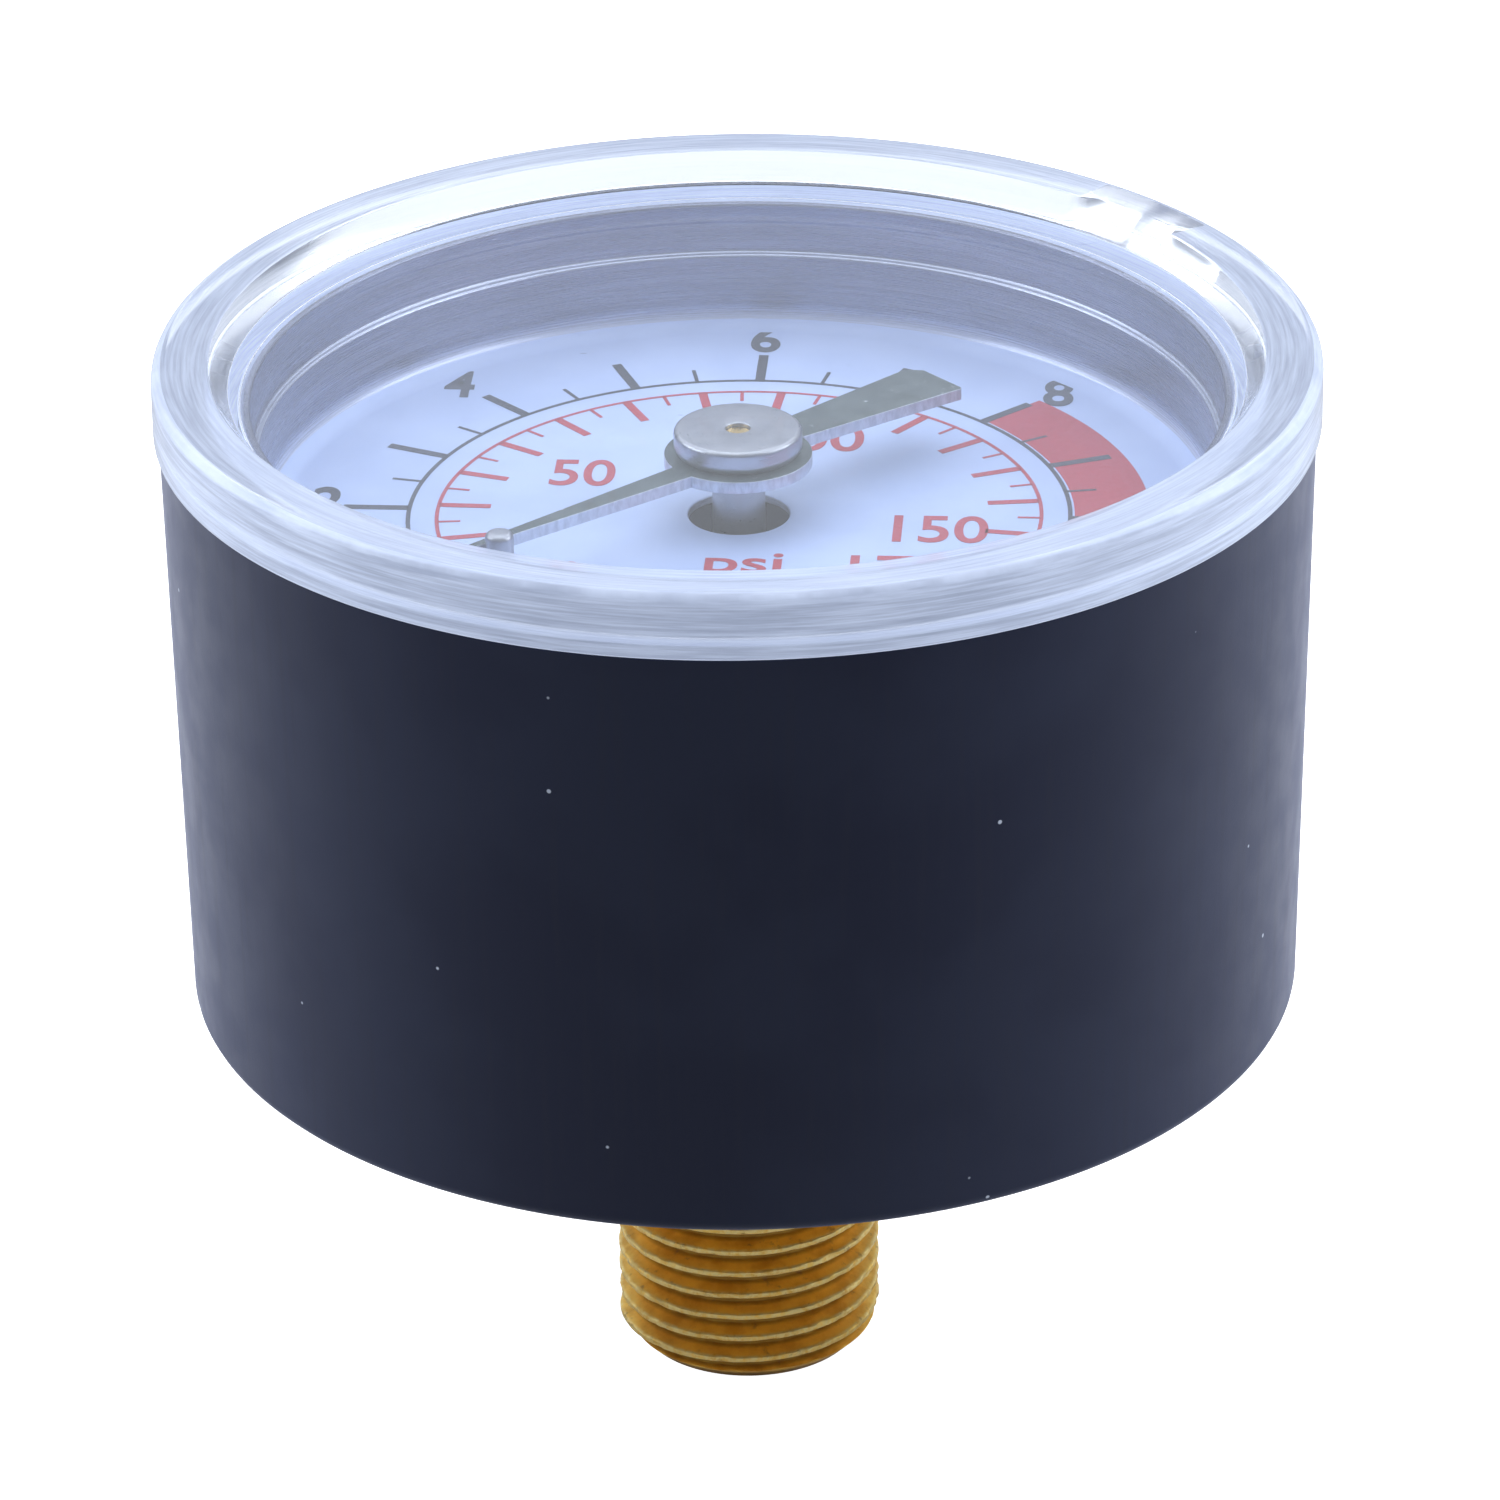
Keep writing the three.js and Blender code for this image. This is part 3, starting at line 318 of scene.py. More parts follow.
def slab(name, outlines, bottom, top, bevel=0.02):
    """A flat piece between two heights: the first outline less the others, with rounded edges."""
    curve = bpy.data.curves.new(name, "CURVE")
    curve.dimensions = "2D"
    curve.fill_mode = "BOTH"
    curve.extrude = (top - bottom) / 2 - bevel
    curve.bevel_depth = bevel
    curve.bevel_resolution = 2
    curve.offset = -bevel
    for outline in outlines:
        spline = curve.splines.new("POLY")
        spline.points.add(len(outline) - 1)
        for point, place in zip(spline.points, outline):
            point.co = (place[0], place[1], 0, 1)
        spline.use_cyclic_u = True
    return solid_from_curve(curve, Matrix.Translation((0, 0, (bottom + top) / 2)))


def solid_from_curve(curve, place):
    """Turns a curve or text in millimetres into a closed mesh in metres."""
    holder = bpy.data.objects.new(curve.name, curve)
    bpy.context.scene.collection.objects.link(holder)
    bpy.context.view_layer.update()
    shaped = holder.evaluated_get(bpy.context.evaluated_depsgraph_get())
    mesh = bpy.data.meshes.new_from_object(shaped)
    bpy.data.objects.remove(holder)
    mesh.transform(Matrix.Scale(MM, 4) @ place)
    tidy(mesh)
    return mesh


def arc(radius, start, end, steps=40):
    return [polar(radius, start + (end - start) * i / steps) for i in range(steps + 1)]


def circle(radius, at=(0, 0), segments=MEDIUM):
    points = [polar(radius, 360 * k / segments) for k in range(segments)]
    return [(at[0] + p.x, at[1] + p.y) for p in points]


def rod(radius, bottom, top, at=(0, 0), segments=MEDIUM):
    """A plain cylinder, used only to cut or join."""
    vertices, faces = turned([(0, bottom), (radius, bottom), (radius, top), (0, top)], segments)
    return mesh_from("rod", [(x + at[0], y + at[1], z) for x, y, z in vertices], faces)


def combined(body, operation, tools):
    """The body with the tool meshes joined to it (UNION) or cut from it (DIFFERENCE)."""
    for tool in tools:
        base = bpy.data.objects.new("base", body)
        other = bpy.data.objects.new("tool", tool)
        for part in (base, other):
            bpy.context.scene.collection.objects.link(part)
        change = base.modifiers.new("change", "BOOLEAN")
        change.operation = operation
        change.solver = "EXACT"
        change.object = other
        bpy.context.view_layer.update()
        shaped = base.evaluated_get(bpy.context.evaluated_depsgraph_get())
        body = bpy.data.meshes.new_from_object(shaped)
        bpy.data.objects.remove(base)
        bpy.data.objects.remove(other)
    tidy(body)
    return body


def moved(mesh, at):
    mesh.transform(Matrix.Translation((at[0] * MM, at[1] * MM, 0)))
    return mesh


def piece(name, mesh, materials, body="frame", replaces=(), pick=None):
    """Puts a finished mesh in the scene. pick(centre, normal) gives each face's material number."""
    thing = bpy.data.objects.new(name, mesh)
    bpy.context.scene.collection.objects.link(thing)
    mesh.materials.clear()
    for material in materials:
        mesh.materials.append(material)
    for face in mesh.polygons:
        face.material_index = pick(face.center / MM, face.normal) if pick else 0
    thing.modifiers.new("even_normals", "WEIGHTED_NORMAL").keep_sharp = True
    if body:
        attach(thing, body)
    if replaces:
        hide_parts(*replaces)
    return thing


# ---------- Material helpers ----------

class Surface:
    """A material's nodes, with short calls for the kinds that the finishes share."""

    def __init__(self, name):
        self.material = bpy.data.materials.new(name)
        self.material.use_nodes = True
        self.tree = self.material.node_tree
        self.shader = self.tree.nodes["Principled BSDF"]
        self.output = self.tree.nodes["Material Output"]
        place = self.tree.nodes.new("ShaderNodeTexCoord").outputs["Object"]
        self.place = self.vector("SCALE", place, scale=1 / MM)
        split = self.tree.nodes.new("ShaderNodeSeparateXYZ")
        self.feed(split.inputs[0], self.place)
        self.x, self.y, self.z = split.outputs
        self.radius = self.math("SQRT", self.math("ADD", self.math("MULTIPLY", self.x, self.x),
                                                  self.math("MULTIPLY", self.y, self.y)))

    def feed(self, socket, value):
        if isinstance(value, bpy.types.NodeSocket):
            self.tree.links.new(value, socket)
        elif socket.type == "RGBA" and len(value) == 3:
            socket.default_value = (*value, 1)
        else:
            socket.default_value = value

    def math(self, operation, *values, clamp=False):
        node = self.tree.nodes.new("ShaderNodeMath")
        node.operation = operation
        node.use_clamp = clamp
        for socket, value in zip(node.inputs, values):
            self.feed(socket, value)
        return node.outputs[0]

    def vector(self, operation, first, second=None, scale=None):
        node = self.tree.nodes.new("ShaderNodeVectorMath")
        node.operation = operation
        self.feed(node.inputs[0], first)
        if second is not None:
            self.feed(node.inputs[1], second)
        if scale is not None:
            self.feed(node.inputs["Scale"], scale)
        return node.outputs[0]

    def joined(self, x, y, z):
        node = self.tree.nodes.new("ShaderNodeCombineXYZ")
        for socket, value in zip(node.inputs, (x, y, z)):
            self.feed(socket, value)
        return node.outputs[0]

    def round_grain(self, along, across, level):
        """Coordinates drawn out round the axis: along per radius, across per millimetre of level."""
        x = self.math("MULTIPLY", self.math("DIVIDE", self.x, self.radius), along)
        y = self.math("MULTIPLY", self.math("DIVIDE", self.y, self.radius), along)
        return self.joined(x, y, self.math("MULTIPLY", level, across))

    def noise(self, scale, detail=3, roughness=0.5, at=None):
        node = self.tree.nodes.new("ShaderNodeTexNoise")
        self.feed(node.inputs["Vector"], self.place if at is None else at)
        self.feed(node.inputs["Scale"], scale)
        self.feed(node.inputs["Detail"], detail)
        self.feed(node.inputs["Roughness"], roughness)
        return node.outputs["Fac"]

    def range(self, value, low, high, to_low=0.0, to_high=1.0):
        node = self.tree.nodes.new("ShaderNodeMapRange")
        node.interpolation_type = "SMOOTHSTEP"
        for socket, number in zip(node.inputs, (value, low, high, to_low, to_high)):
            self.feed(socket, number)
        return node.outputs[0]

    def mix(self, factor, first, second):
        node = self.tree.nodes.new("ShaderNodeMix")
        node.data_type = "RGBA"
        self.feed(node.inputs["Factor"], factor)
        colours = [socket for socket in node.inputs if socket.type == "RGBA"]
        self.feed(colours[0], first)
        self.feed(colours[1], second)
        return next(socket for socket in node.outputs if socket.type == "RGBA")

    def specks(self, scale, size, share, at=None):
        """Small round spots: scale cells per millimetre, of which only a share hold a spot."""
        node = self.tree.nodes.new("ShaderNodeTexVoronoi")
        self.feed(node.inputs["Vector"], self.place if at is None else at)
        self.feed(node.inputs["Scale"], scale)
        spot = self.range(node.outputs["Distance"], size * 0.6, size, 1, 0)
        chosen = self.math("LESS_THAN", node.outputs["Color"], share)
        return self.math("MULTIPLY", spot, chosen)

    def facing(self):
        """0 where the surface faces the viewer, 1 where it is seen edge on."""
        node = self.tree.nodes.new("ShaderNodeLayerWeight")
        self.feed(node.inputs["Blend"], 0.5)
        return node.outputs["Facing"]

    def bump(self, height, depth, strength=1.0):
        """Raises the surface by depth millimetres where height is 1."""
        node = self.tree.nodes.new("ShaderNodeBump")
        self.feed(node.inputs["Height"], height)
        self.feed(node.inputs["Distance"], depth * MM)
        self.feed(node.inputs["Strength"], strength)
        before = self.shader.inputs["Normal"]
        if before.is_linked:
            self.feed(node.inputs["Normal"], before.links[0].from_socket)
        self.feed(before, node.outputs[0])

    def set(self, **inputs):
        for name, value in inputs.items():
            self.feed(self.shader.inputs[name.replace("_", " ")], value)
        return self


# ---------- Materials ----------

def black_plastic():
    s = Surface("black_plastic")
    patch = s.range(s.noise(0.12, 3), 0.4, 0.65)
    colour = s.mix(patch, (0.0125, 0.0155, 0.033), (0.0160, 0.0200, 0.040))
    # Painted sheen: the colour turns a lighter blue where the case is seen edge on, in place of a
    # reflection.
    painted_grazing_sheen = s.math("POWER", s.facing(), 2.5)
    colour = s.mix(painted_grazing_sheen, colour, (0.065, 0.078, 0.155))
    streaks = s.noise(1, 3, at=s.round_grain(60, 0.12, s.z))
    colour = s.mix(s.range(streaks, 0.45, 0.8, 0, 0.25), colour, (0.02, 0.022, 0.034))
    dust = s.specks(0.55, 0.055, 0.30)
    fibres = s.specks(1, 0.06, 0.12, at=s.vector("MULTIPLY", s.place, (0.9, 0.9, 0.22)))
    colour = s.mix(s.math("MAXIMUM", dust, fibres), colour, (0.42, 0.46, 0.55))
    rough = s.range(s.noise(0.5, 4), 0.3, 0.7, 0.36, 0.44)
    s.set(Base_Color=colour, Roughness=rough, Specular_IOR_Level=0.15)
    s.bump(s.noise(9, 4, 0.6), 0.006, 0.35)
    s.bump(streaks, 0.004, 0.25)
    return s.material


def clear_plastic(name, tint, roughness=0.0, milk=0.0, painted_glow=0.0, from_inside=0.0):
    """Clear plastic. Its worn faces are milky and give off painted light, an emission in place of the
    light that runs in the plastic, and they are painted darker where seen edge on.

    from_inside is the share of the milk that is still seen through the plastic.
    """
    s = Surface(name)
    level = s.math("ADD", s.radius, s.z)
    streaks = s.noise(1, 5, 0.6, at=s.round_grain(5, 8, level))
    rough = s.range(streaks, 0.35, 0.75, roughness, 1.5 * roughness)
    s.set(Base_Color=tint, Roughness=rough, IOR=1.49, Transmission_Weight=1.0)
    worn = s.tree.nodes.new("ShaderNodeBsdfPrincipled")
    shade = s.range(streaks, 0.25, 0.75)
    # Painted shade: the milky colour turns dark and the emission dims where a face is seen edge on.
    outline = s.math("POWER", s.facing(), 5)
    pale = s.mix(shade, (0.34, 0.38, 0.48), (0.44, 0.49, 0.60))
    s.feed(worn.inputs["Base Color"], s.mix(outline, pale, (0.10, 0.11, 0.15)))
    s.feed(worn.inputs["Roughness"], 0.5)
    # Painted light: the worn faces give off light though they are no lamp, standing in for light carried
    # inside the plastic.
    s.feed(worn.inputs["Emission Color"], s.mix(shade, (0.52, 0.62, 0.90), (0.64, 0.74, 1.0)))
    s.feed(worn.inputs["Emission Strength"], s.range(outline, 0, 1, painted_glow, 0.3 * painted_glow))
    scratch = s.specks(1, 0.05, 0.25, at=s.vector("MULTIPLY", s.place, (0.3, 1.1, 1.1)))
    inside = s.tree.nodes.new("ShaderNodeNewGeometry").outputs["Backfacing"]
    shown = s.range(inside, 0, 1, 1, from_inside)
    wear = s.math("MULTIPLY", shown, s.range(streaks, 0.25, 0.75, 0.85 * milk, 1.15 * milk))
    milky = s.tree.nodes.new("ShaderNodeMixShader")
    s.feed(milky.inputs[0], s.math("MAXIMUM", wear, s.math("MULTIPLY", scratch, 0.25)))
    s.feed(milky.inputs[1], s.shader.outputs[0])
    s.feed(milky.inputs[2], worn.outputs[0])
    if milk:
        s.bump(streaks, 0.006, 0.25)
        s.feed(worn.inputs["Normal"], s.shader.inputs["Normal"].links[0].from_socket)
    through = s.tree.nodes.new("ShaderNodeBsdfTransparent")
    through.inputs["Color"].default_value = (0.93, 0.95, 0.985, 1)
    path = s.tree.nodes.new("ShaderNodeLightPath")
    unseen = s.math("MAXIMUM", path.outputs["Is Shadow Ray"], path.outputs["Is Diffuse Ray"])
    either = s.tree.nodes.new("ShaderNodeMixShader")
    s.feed(either.inputs[0], unseen)
    s.feed(either.inputs[1], milky.outputs[0])
    s.feed(either.inputs[2], through.outputs[0])
    s.feed(s.output.inputs["Surface"], either.outputs[0])
    return s.material


def dial_paint():
    s = Surface("dial_paint")
    tone = s.range(s.noise(0.35, 3), 0.35, 0.7)
    colour = s.mix(tone, (0.49, 0.59, 0.85), (0.54, 0.64, 0.90))
    dust = s.specks(0.8, 0.045, 0.14)
    colour = s.mix(s.math("MULTIPLY", dust, 0.7), colour, (0.12, 0.12, 0.15))
    s.set(Base_Color=colour, Roughness=s.range(s.noise(3, 4), 0.3, 0.7, 0.38, 0.5))
    s.bump(s.noise(14, 3), 0.004, 0.3)
    return s.material


def dial_wall():
    """Bare drawn aluminium with fine rings from the drawing tool, and painted highlights on the rounded
    corner and along the step.
    """
    s = Surface("dial_wall")
    rings = s.noise(1, 5, 0.7, at=s.round_grain(2.5, 26, s.z))
    broad = s.noise(1, 3, 0.5, at=s.round_grain(1.6, 1.1, s.z))
    colour = s.mix(s.range(rings, 0.3, 0.75), (0.19, 0.205, 0.285), (0.33, 0.35, 0.46))
    colour = s.mix(s.range(broad, 0.35, 0.7, 0, 0.5), colour, (0.15, 0.165, 0.235))
    scratch = s.specks(1, 0.05, 0.5, at=s.vector("MULTIPLY", s.place, (0.45, 0.45, 2.6)))
    colour = s.mix(s.math("MULTIPLY", scratch, 0.7), colour, (0.85, 0.87, 0.95))
    # Painted highlight: the wall is painted lighter and less metallic towards the floor, in place of the
    # light on the rounded corner.
    corner = s.range(s.z, DIAL_FACE + 0.25, DIAL_FACE + 1.1, 0.85, 0)
    colour = s.mix(corner, colour, (0.62, 0.68, 0.86))
    # Painted highlight: a light line painted along the step, where the ledge catches the light.
    step = s.range(s.math("ABSOLUTE", s.math("SUBTRACT", s.z, DIAL_STEP)), 0.03, 0.13, 0.7, 0)
    colour = s.mix(step, colour, (0.62, 0.66, 0.80))
    bare = s.range(corner, 0, 1, 0.85, 0.2)
    s.set(Base_Color=colour, Metallic=bare, Roughness=s.range(rings, 0.3, 0.8, 0.22, 0.36))
    s.bump(rings, 0.012, 0.5)
    return s.material


def ink(name, light, dark):
    """Screen-printed ink with uneven cover."""
    s = Surface(name)
    cover = s.range(s.noise(5, 4, 0.6), 0.35, 0.75)
    s.set(Base_Color=s.mix(cover, dark, light), Roughness=s.range(s.noise(9, 2), 0.3, 0.7, 0.35, 0.5))
    s.bump(s.noise(16, 3), 0.003, 0.4)
    return s.material


def pointer_finish():
    """Dark paint on the flat faces, bare sheared metal on the edges."""
    s = Surface("pointer_paint")
    flat = s.tree.nodes.new("ShaderNodeNewGeometry").outputs["Normal"]
    split = s.tree.nodes.new("ShaderNodeSeparateXYZ")
    s.feed(split.inputs[0], flat)
    bare = s.range(s.math("ABSOLUTE", split.outputs[2]), 0.75, 0.97, 1, 0)
    nicks = s.range(s.noise(2.6, 5, 0.7), 0.66, 0.70)
    bare = s.math("MAXIMUM", bare, nicks)
    paint = s.mix(s.range(s.noise(1.4, 4), 0.35, 0.7), (0.042, 0.062, 0.062), (0.075, 0.10, 0.10))
    shear = s.noise(1, 4, 0.7, at=s.vector("MULTIPLY", s.place, (4, 4, 1.6)))
    metal = s.mix(s.range(shear, 0.3, 0.7), (0.46, 0.49, 0.56), (0.66, 0.70, 0.78))
    s.set(Base_Color=s.mix(bare, paint, metal), Metallic=s.math("MULTIPLY", bare, 0.8),
          Roughness=s.range(bare, 0, 1, 0.45, 0.38))
    s.bump(shear, 0.012, 0.3)
    s.bump(s.noise(12, 3), 0.005, 0.4)
    return s.material


def metal(name, light, dark, rough, grain=14, depth=0.5, spots=0.15):
    """Turned or drawn metal: rings round the axis, patchy colour and a few stains."""
    s = Surface(name)
    rings = s.noise(1, 4, 0.6, at=s.round_grain(3, grain, s.math("ADD", s.radius, s.z)))
    patch = s.range(s.noise(0.8, 4, 0.6), 0.35, 0.7)
    colour = s.mix(patch, light, dark)
    stain = s.specks(1.3, 0.16, spots)
    colour = s.mix(s.math("MULTIPLY", stain, 0.4), colour, tuple(0.45 * c for c in dark))
    s.set(Base_Color=colour, Metallic=1.0, Roughness=s.range(rings, 0.3, 0.75, rough, rough + 0.14))
    s.bump(rings, 0.008, depth)
    return s.material


def thread_brass():
    """Brass that is bright on the worn crests and dark in the roots."""
    s = Surface("thread_brass")
    crest = s.range(s.radius, THREAD_RADIUS - 0.14, THREAD_RADIUS - 0.03)
    root = s.range(s.radius, THREAD_CORE, THREAD_CORE + 0.22, 1, 0)
    patch = s.range(s.noise(0.9, 4, 0.6), 0.35, 0.7)
    colour = s.mix(patch, (0.98, 0.64, 0.14), (0.78, 0.45, 0.085))
    colour = s.mix(s.math("MULTIPLY", root, 0.75), colour, (0.24, 0.12, 0.025))
    worn = s.math("MULTIPLY", crest, s.range(s.noise(3.5, 4, 0.7), 0.3, 0.6))
    colour = s.mix(worn, colour, (0.92, 0.72, 0.30))
    tarnish = s.range(s.noise(1.7, 5, 0.65), 0.58, 0.72, 0, 0.55)
    colour = s.mix(tarnish, colour, (0.24, 0.15, 0.10))
    s.set(Base_Color=colour, Metallic=1.0, Roughness=s.range(s.noise(6, 3), 0.3, 0.7, 0.42, 0.56))
    s.bump(s.noise(10, 4, 0.7), 0.02, 0.5)
    return s.material


# ---------- Case and window ----------

def screw_places():
    return [middle("case_screw_1"), middle("case_screw_2")]


def build_case(material):
    corners = [
        (NECK_HOLE, CASE_BACK, 0.15),
        (CASE_BACK_RADIUS, CASE_BACK, 0.5),
        (CASE_RIM_RADIUS, CASE_RIM, 0.1),
        (WINDOW_SEAT_RADIUS, CASE_RIM, 0.15),
        (WINDOW_SEAT_RADIUS, WINDOW_SEAT, 0.1),
        (CASE_INNER_RADIUS, WINDOW_SEAT, 0.1),
        (CASE_INNER_RADIUS, CASE_FLOOR, 0.6),
        (NECK_HOLE, CASE_FLOOR, 0.15),
    ]
    shell = mesh_from("case_body", *turned(rounded(corners)))
    ribs = []
    for i in range(RIB_COUNT):
        outer = CASE_INNER_RADIUS + RIB_ROOT
        half = RIB_THICKNESS / 2
        outline = [(RIB_INNER_RADIUS, -half), (outer, -half), (outer, half), (RIB_INNER_RADIUS, half)]
        turn = Matrix.Rotation(FULL_TURN * i / RIB_COUNT, 2)
        placed = [turn @ Vector(p) for p in outline]
        ribs.append(slab("rib", [placed], CASE_FLOOR - RIB_ROOT, RIB_TOP, 0.1))
    shell = combined(shell, "UNION", ribs)
    holes = [rod(SCREW_HOLE, CASE_BACK - 1, CASE_FLOOR + 1, at, 48) for at in screw_places()]
    shell = combined(shell, "DIFFERENCE", holes)
    piece("case_shell", shell, [material], replaces=["case"])


def build_window(materials):
    corners = [
        (0, PANE_BOTTOM, 0),
        (SKIRT_INNER, PANE_BOTTOM, 0.15),
        (SKIRT_INNER, WINDOW_LOW, 0.1),
        (SKIRT_OUTER - SKIRT_CHAMFER, WINDOW_LOW, 0.1),
        (SKIRT_OUTER, WINDOW_LOW + SKIRT_CHAMFER, 0.1),
        (SKIRT_OUTER, FLANGE_BOTTOM, 0.05),
        (WINDOW_RADIUS, FLANGE_BOTTOM, 0.12),
        (WINDOW_RADIUS, WINDOW_TOP, 0.5),
        (LIP_RADIUS, WINDOW_TOP, 0.12),
        (PANE_RADIUS, PANE_TOP, 0.12),
        (0, PANE_TOP, 0),
    ]

    def gate(radius, height, angle):
        inside = GATE_FROM < math.degrees(angle) < GATE_TO
        at_height = PANE_TOP - 0.05 < height <= WINDOW_TOP
        at_radius = PANE_RADIUS - 0.3 < radius < LIP_RADIUS + 0.2
        if inside and at_height and at_radius:
            return radius + 0.55 * (height - PANE_TOP), height - 0.12 * (height - PANE_TOP)
        return radius, height

    def finish(centre, normal):
        if centre.z > WINDOW_TOP - 0.03 and centre.xy.length > LIP_RADIUS - 0.1:
            return 1
        if centre.z < PANE_BOTTOM - 0.05:
            return 3
        return 2 if centre.xy.length > WINDOW_RADIUS - 0.5 else 0

    mesh = mesh_from("window_body", *turned(rounded(corners, closed=False), FINE, gate))
    piece("window_moulding", mesh, materials, replaces=["window"], pick=finish)


# ---------- Dial ----------

def build_dial(paint, wall):
    outside = DIAL_WALL + DIAL_SHEET
    corners = [
        (DIAL_HOLE, DIAL_FACE, 0.06),
        (DIAL_WALL, DIAL_FACE, DIAL_CORNER),
        (DIAL_WALL, DIAL_STEP, 0.12),
        (DIAL_RIM, DIAL_STEP, 0.12),
        (DIAL_RIM, DIAL_TOP, 0.12),
        (DIAL_OUTER, DIAL_TOP, 0.12),
        (DIAL_OUTER, DIAL_STEP - DIAL_SHEET, 0.12),
        (outside, DIAL_STEP - DIAL_SHEET, 0.05),
        (outside, DIAL_LOW, DIAL_CORNER + DIAL_SHEET),
        (DIAL_HOLE, DIAL_LOW, 0.06),
    ]
    pan = mesh_from("dial_body", *turned(rounded(corners, steps=8)))
    pin = middle("stop_pin")
    pan = combined(pan, "DIFFERENCE", [rod(PIN_HOLE, DIAL_LOW - 1, DIAL_FACE + 1, pin, 48)])

    def finish(centre, normal):
        return 0 if centre.z > DIAL_FACE - 0.1 and centre.z < DIAL_STEP - 1 and normal.z > 0.6 else 1

    piece("dial_pan", pan, [paint, wall], replaces=["dial"], pick=finish)


def arc_strip(inner, outer, start, end, steps):
    """Outline of a strip of a ring between two angles."""
    angles = [start + (end - start) * i / steps for i in range(steps + 1)]
    return [polar(outer, a) for a in angles] + [polar(inner, a) for a in reversed(angles)]


def tick(angle, start, end, width):
    """Outline of a bar along a radius."""
    along = polar(1, angle)
    side = Vector((-along.y, along.x)) * (width / 2)
    return [along * start - side, along * end - side, along * end + side, along * start + side]


def print_slab(name, outline):
    return slab(name, [outline], DIAL_FACE + INK_LIFT, DIAL_FACE + INK_LIFT + INK_THICKNESS, 0.0)


def lettering(text, centre, width, height, boldness):
    """A line of text fitted to a box on the dial's face."""
    curve = bpy.data.curves.new("text_" + text, "FONT")
    curve.body = text
    curve.extrude = INK_THICKNESS / 2
    curve.offset = boldness
    curve.resolution_u = 6
    mesh = solid_from_curve(curve, Matrix.Identity(4))
    xs = [v.co.x / MM for v in mesh.vertices]
    ys = [v.co.y / MM for v in mesh.vertices]
    stretch = Matrix.Diagonal((width / (max(xs) - min(xs)), height / (max(ys) - min(ys)), 1, 1))
    from_middle = Matrix.Translation((-(max(xs) + min(xs)) / 2, -(max(ys) + min(ys)) / 2, 0))
    height_up = DIAL_FACE + INK_LIFT + INK_THICKNESS / 2
    place = Matrix.Translation((centre[0], centre[1], height_up)) @ stretch @ from_middle
    mesh.transform(Matrix.Scale(MM, 4) @ place @ Matrix.Scale(1 / MM, 4))
    return mesh


def joined_mesh(name, meshes):
    work = bmesh.new()
    for mesh in meshes:
        work.from_mesh(mesh)
    whole = bpy.data.meshes.new(name)
    work.to_mesh(whole)
    work.free()
    return whole


def bar_to_angle(bar):
    return ZERO_ANGLE - BAR_ANGLE * bar


def build_bar_scale(black):
    parts = [print_slab("ring", arc_strip(*BAR_RING, bar_to_angle(FULL_SCALE), ZERO_ANGLE, RING_STEPS))]
    for half_bar in range(2 * FULL_SCALE + 1):
        whole = half_bar % 2 == 0
        end = BAR_TICK_END if whole else HALF_BAR_TICK_END
        width = BAR_TICK_WIDTH if whole else HALF_BAR_TICK_WIDTH
        parts.append(print_slab("tick", tick(bar_to_angle(half_bar / 2), BAR_TICK_START, end, width)))
    for bar in range(0, FULL_SCALE + 1, 2):
        text = str(bar)
        place = polar(15.72 if 0 < bar < FULL_SCALE else 15.5, bar_to_angle(bar))
        if bar in (2, 10):
            place = Vector((math.copysign(14.9, place.x), 0.5))
        width = BAR_DIGIT_WIDTH * len(text) + BAR_DIGIT_GAP * (len(text) - 1)
        parts.append(lettering(text, place, width, BAR_DIGIT_HEIGHT, BAR_BOLDNESS))
    parts.append(lettering("bar", (0.3, 4.35), 4.0, 2.0, BAR_BOLDNESS))
    piece("dial_bar_scale", joined_mesh("bar_scale", parts), [black])


def build_psi_scale(red):
    psi_end = FULL_SCALE * PSI_PER_BAR
    parts = [print_slab("ring", arc_strip(*PSI_RING, bar_to_angle(FULL_SCALE), ZERO_ANGLE, RING_STEPS))]
    for psi in range(0, int(psi_end) + 1, 5):
        ten = psi % 10 == 0
        end = TEN_PSI_TICK_END if ten else FIVE_PSI_TICK_END
        width = TEN_PSI_TICK_WIDTH if ten else FIVE_PSI_TICK_WIDTH
        parts.append(print_slab("tick", tick(bar_to_angle(psi / PSI_PER_BAR), end, PSI_TICK_START, width)))
    for text, place, width in (
        ("0", (-5.7, -5.5), 1.12),
        ("50", (-5.88, 3.30), 2.35),
        ("100", (2.42, 6.69), 3.45),
        ("150", (7.28, -1.11), 3.4),
        ("175", (5.9, -4.6), 3.4),
    ):
        parts.append(lettering(text, place, width, PSI_DIGIT_HEIGHT, PSI_BOLDNESS))
    parts.append(lettering("psi", (0.44, -4.5), 2.75, 2.2, PSI_BOLDNESS))
    piece("dial_psi_scale", joined_mesh("psi_scale", parts), [red])


def build_red_zone(red):
    outline = arc_strip(*RED_ZONE, bar_to_angle(FULL_SCALE), bar_to_angle(RED_ZONE_START), 60)
    zone = slab("zone", [outline], DIAL_FACE + 0.001, DIAL_FACE + INK_LIFT - 0.001, 0.0)
    piece("dial_red_zone", zone, [red])


# ---------- Pointer ----------

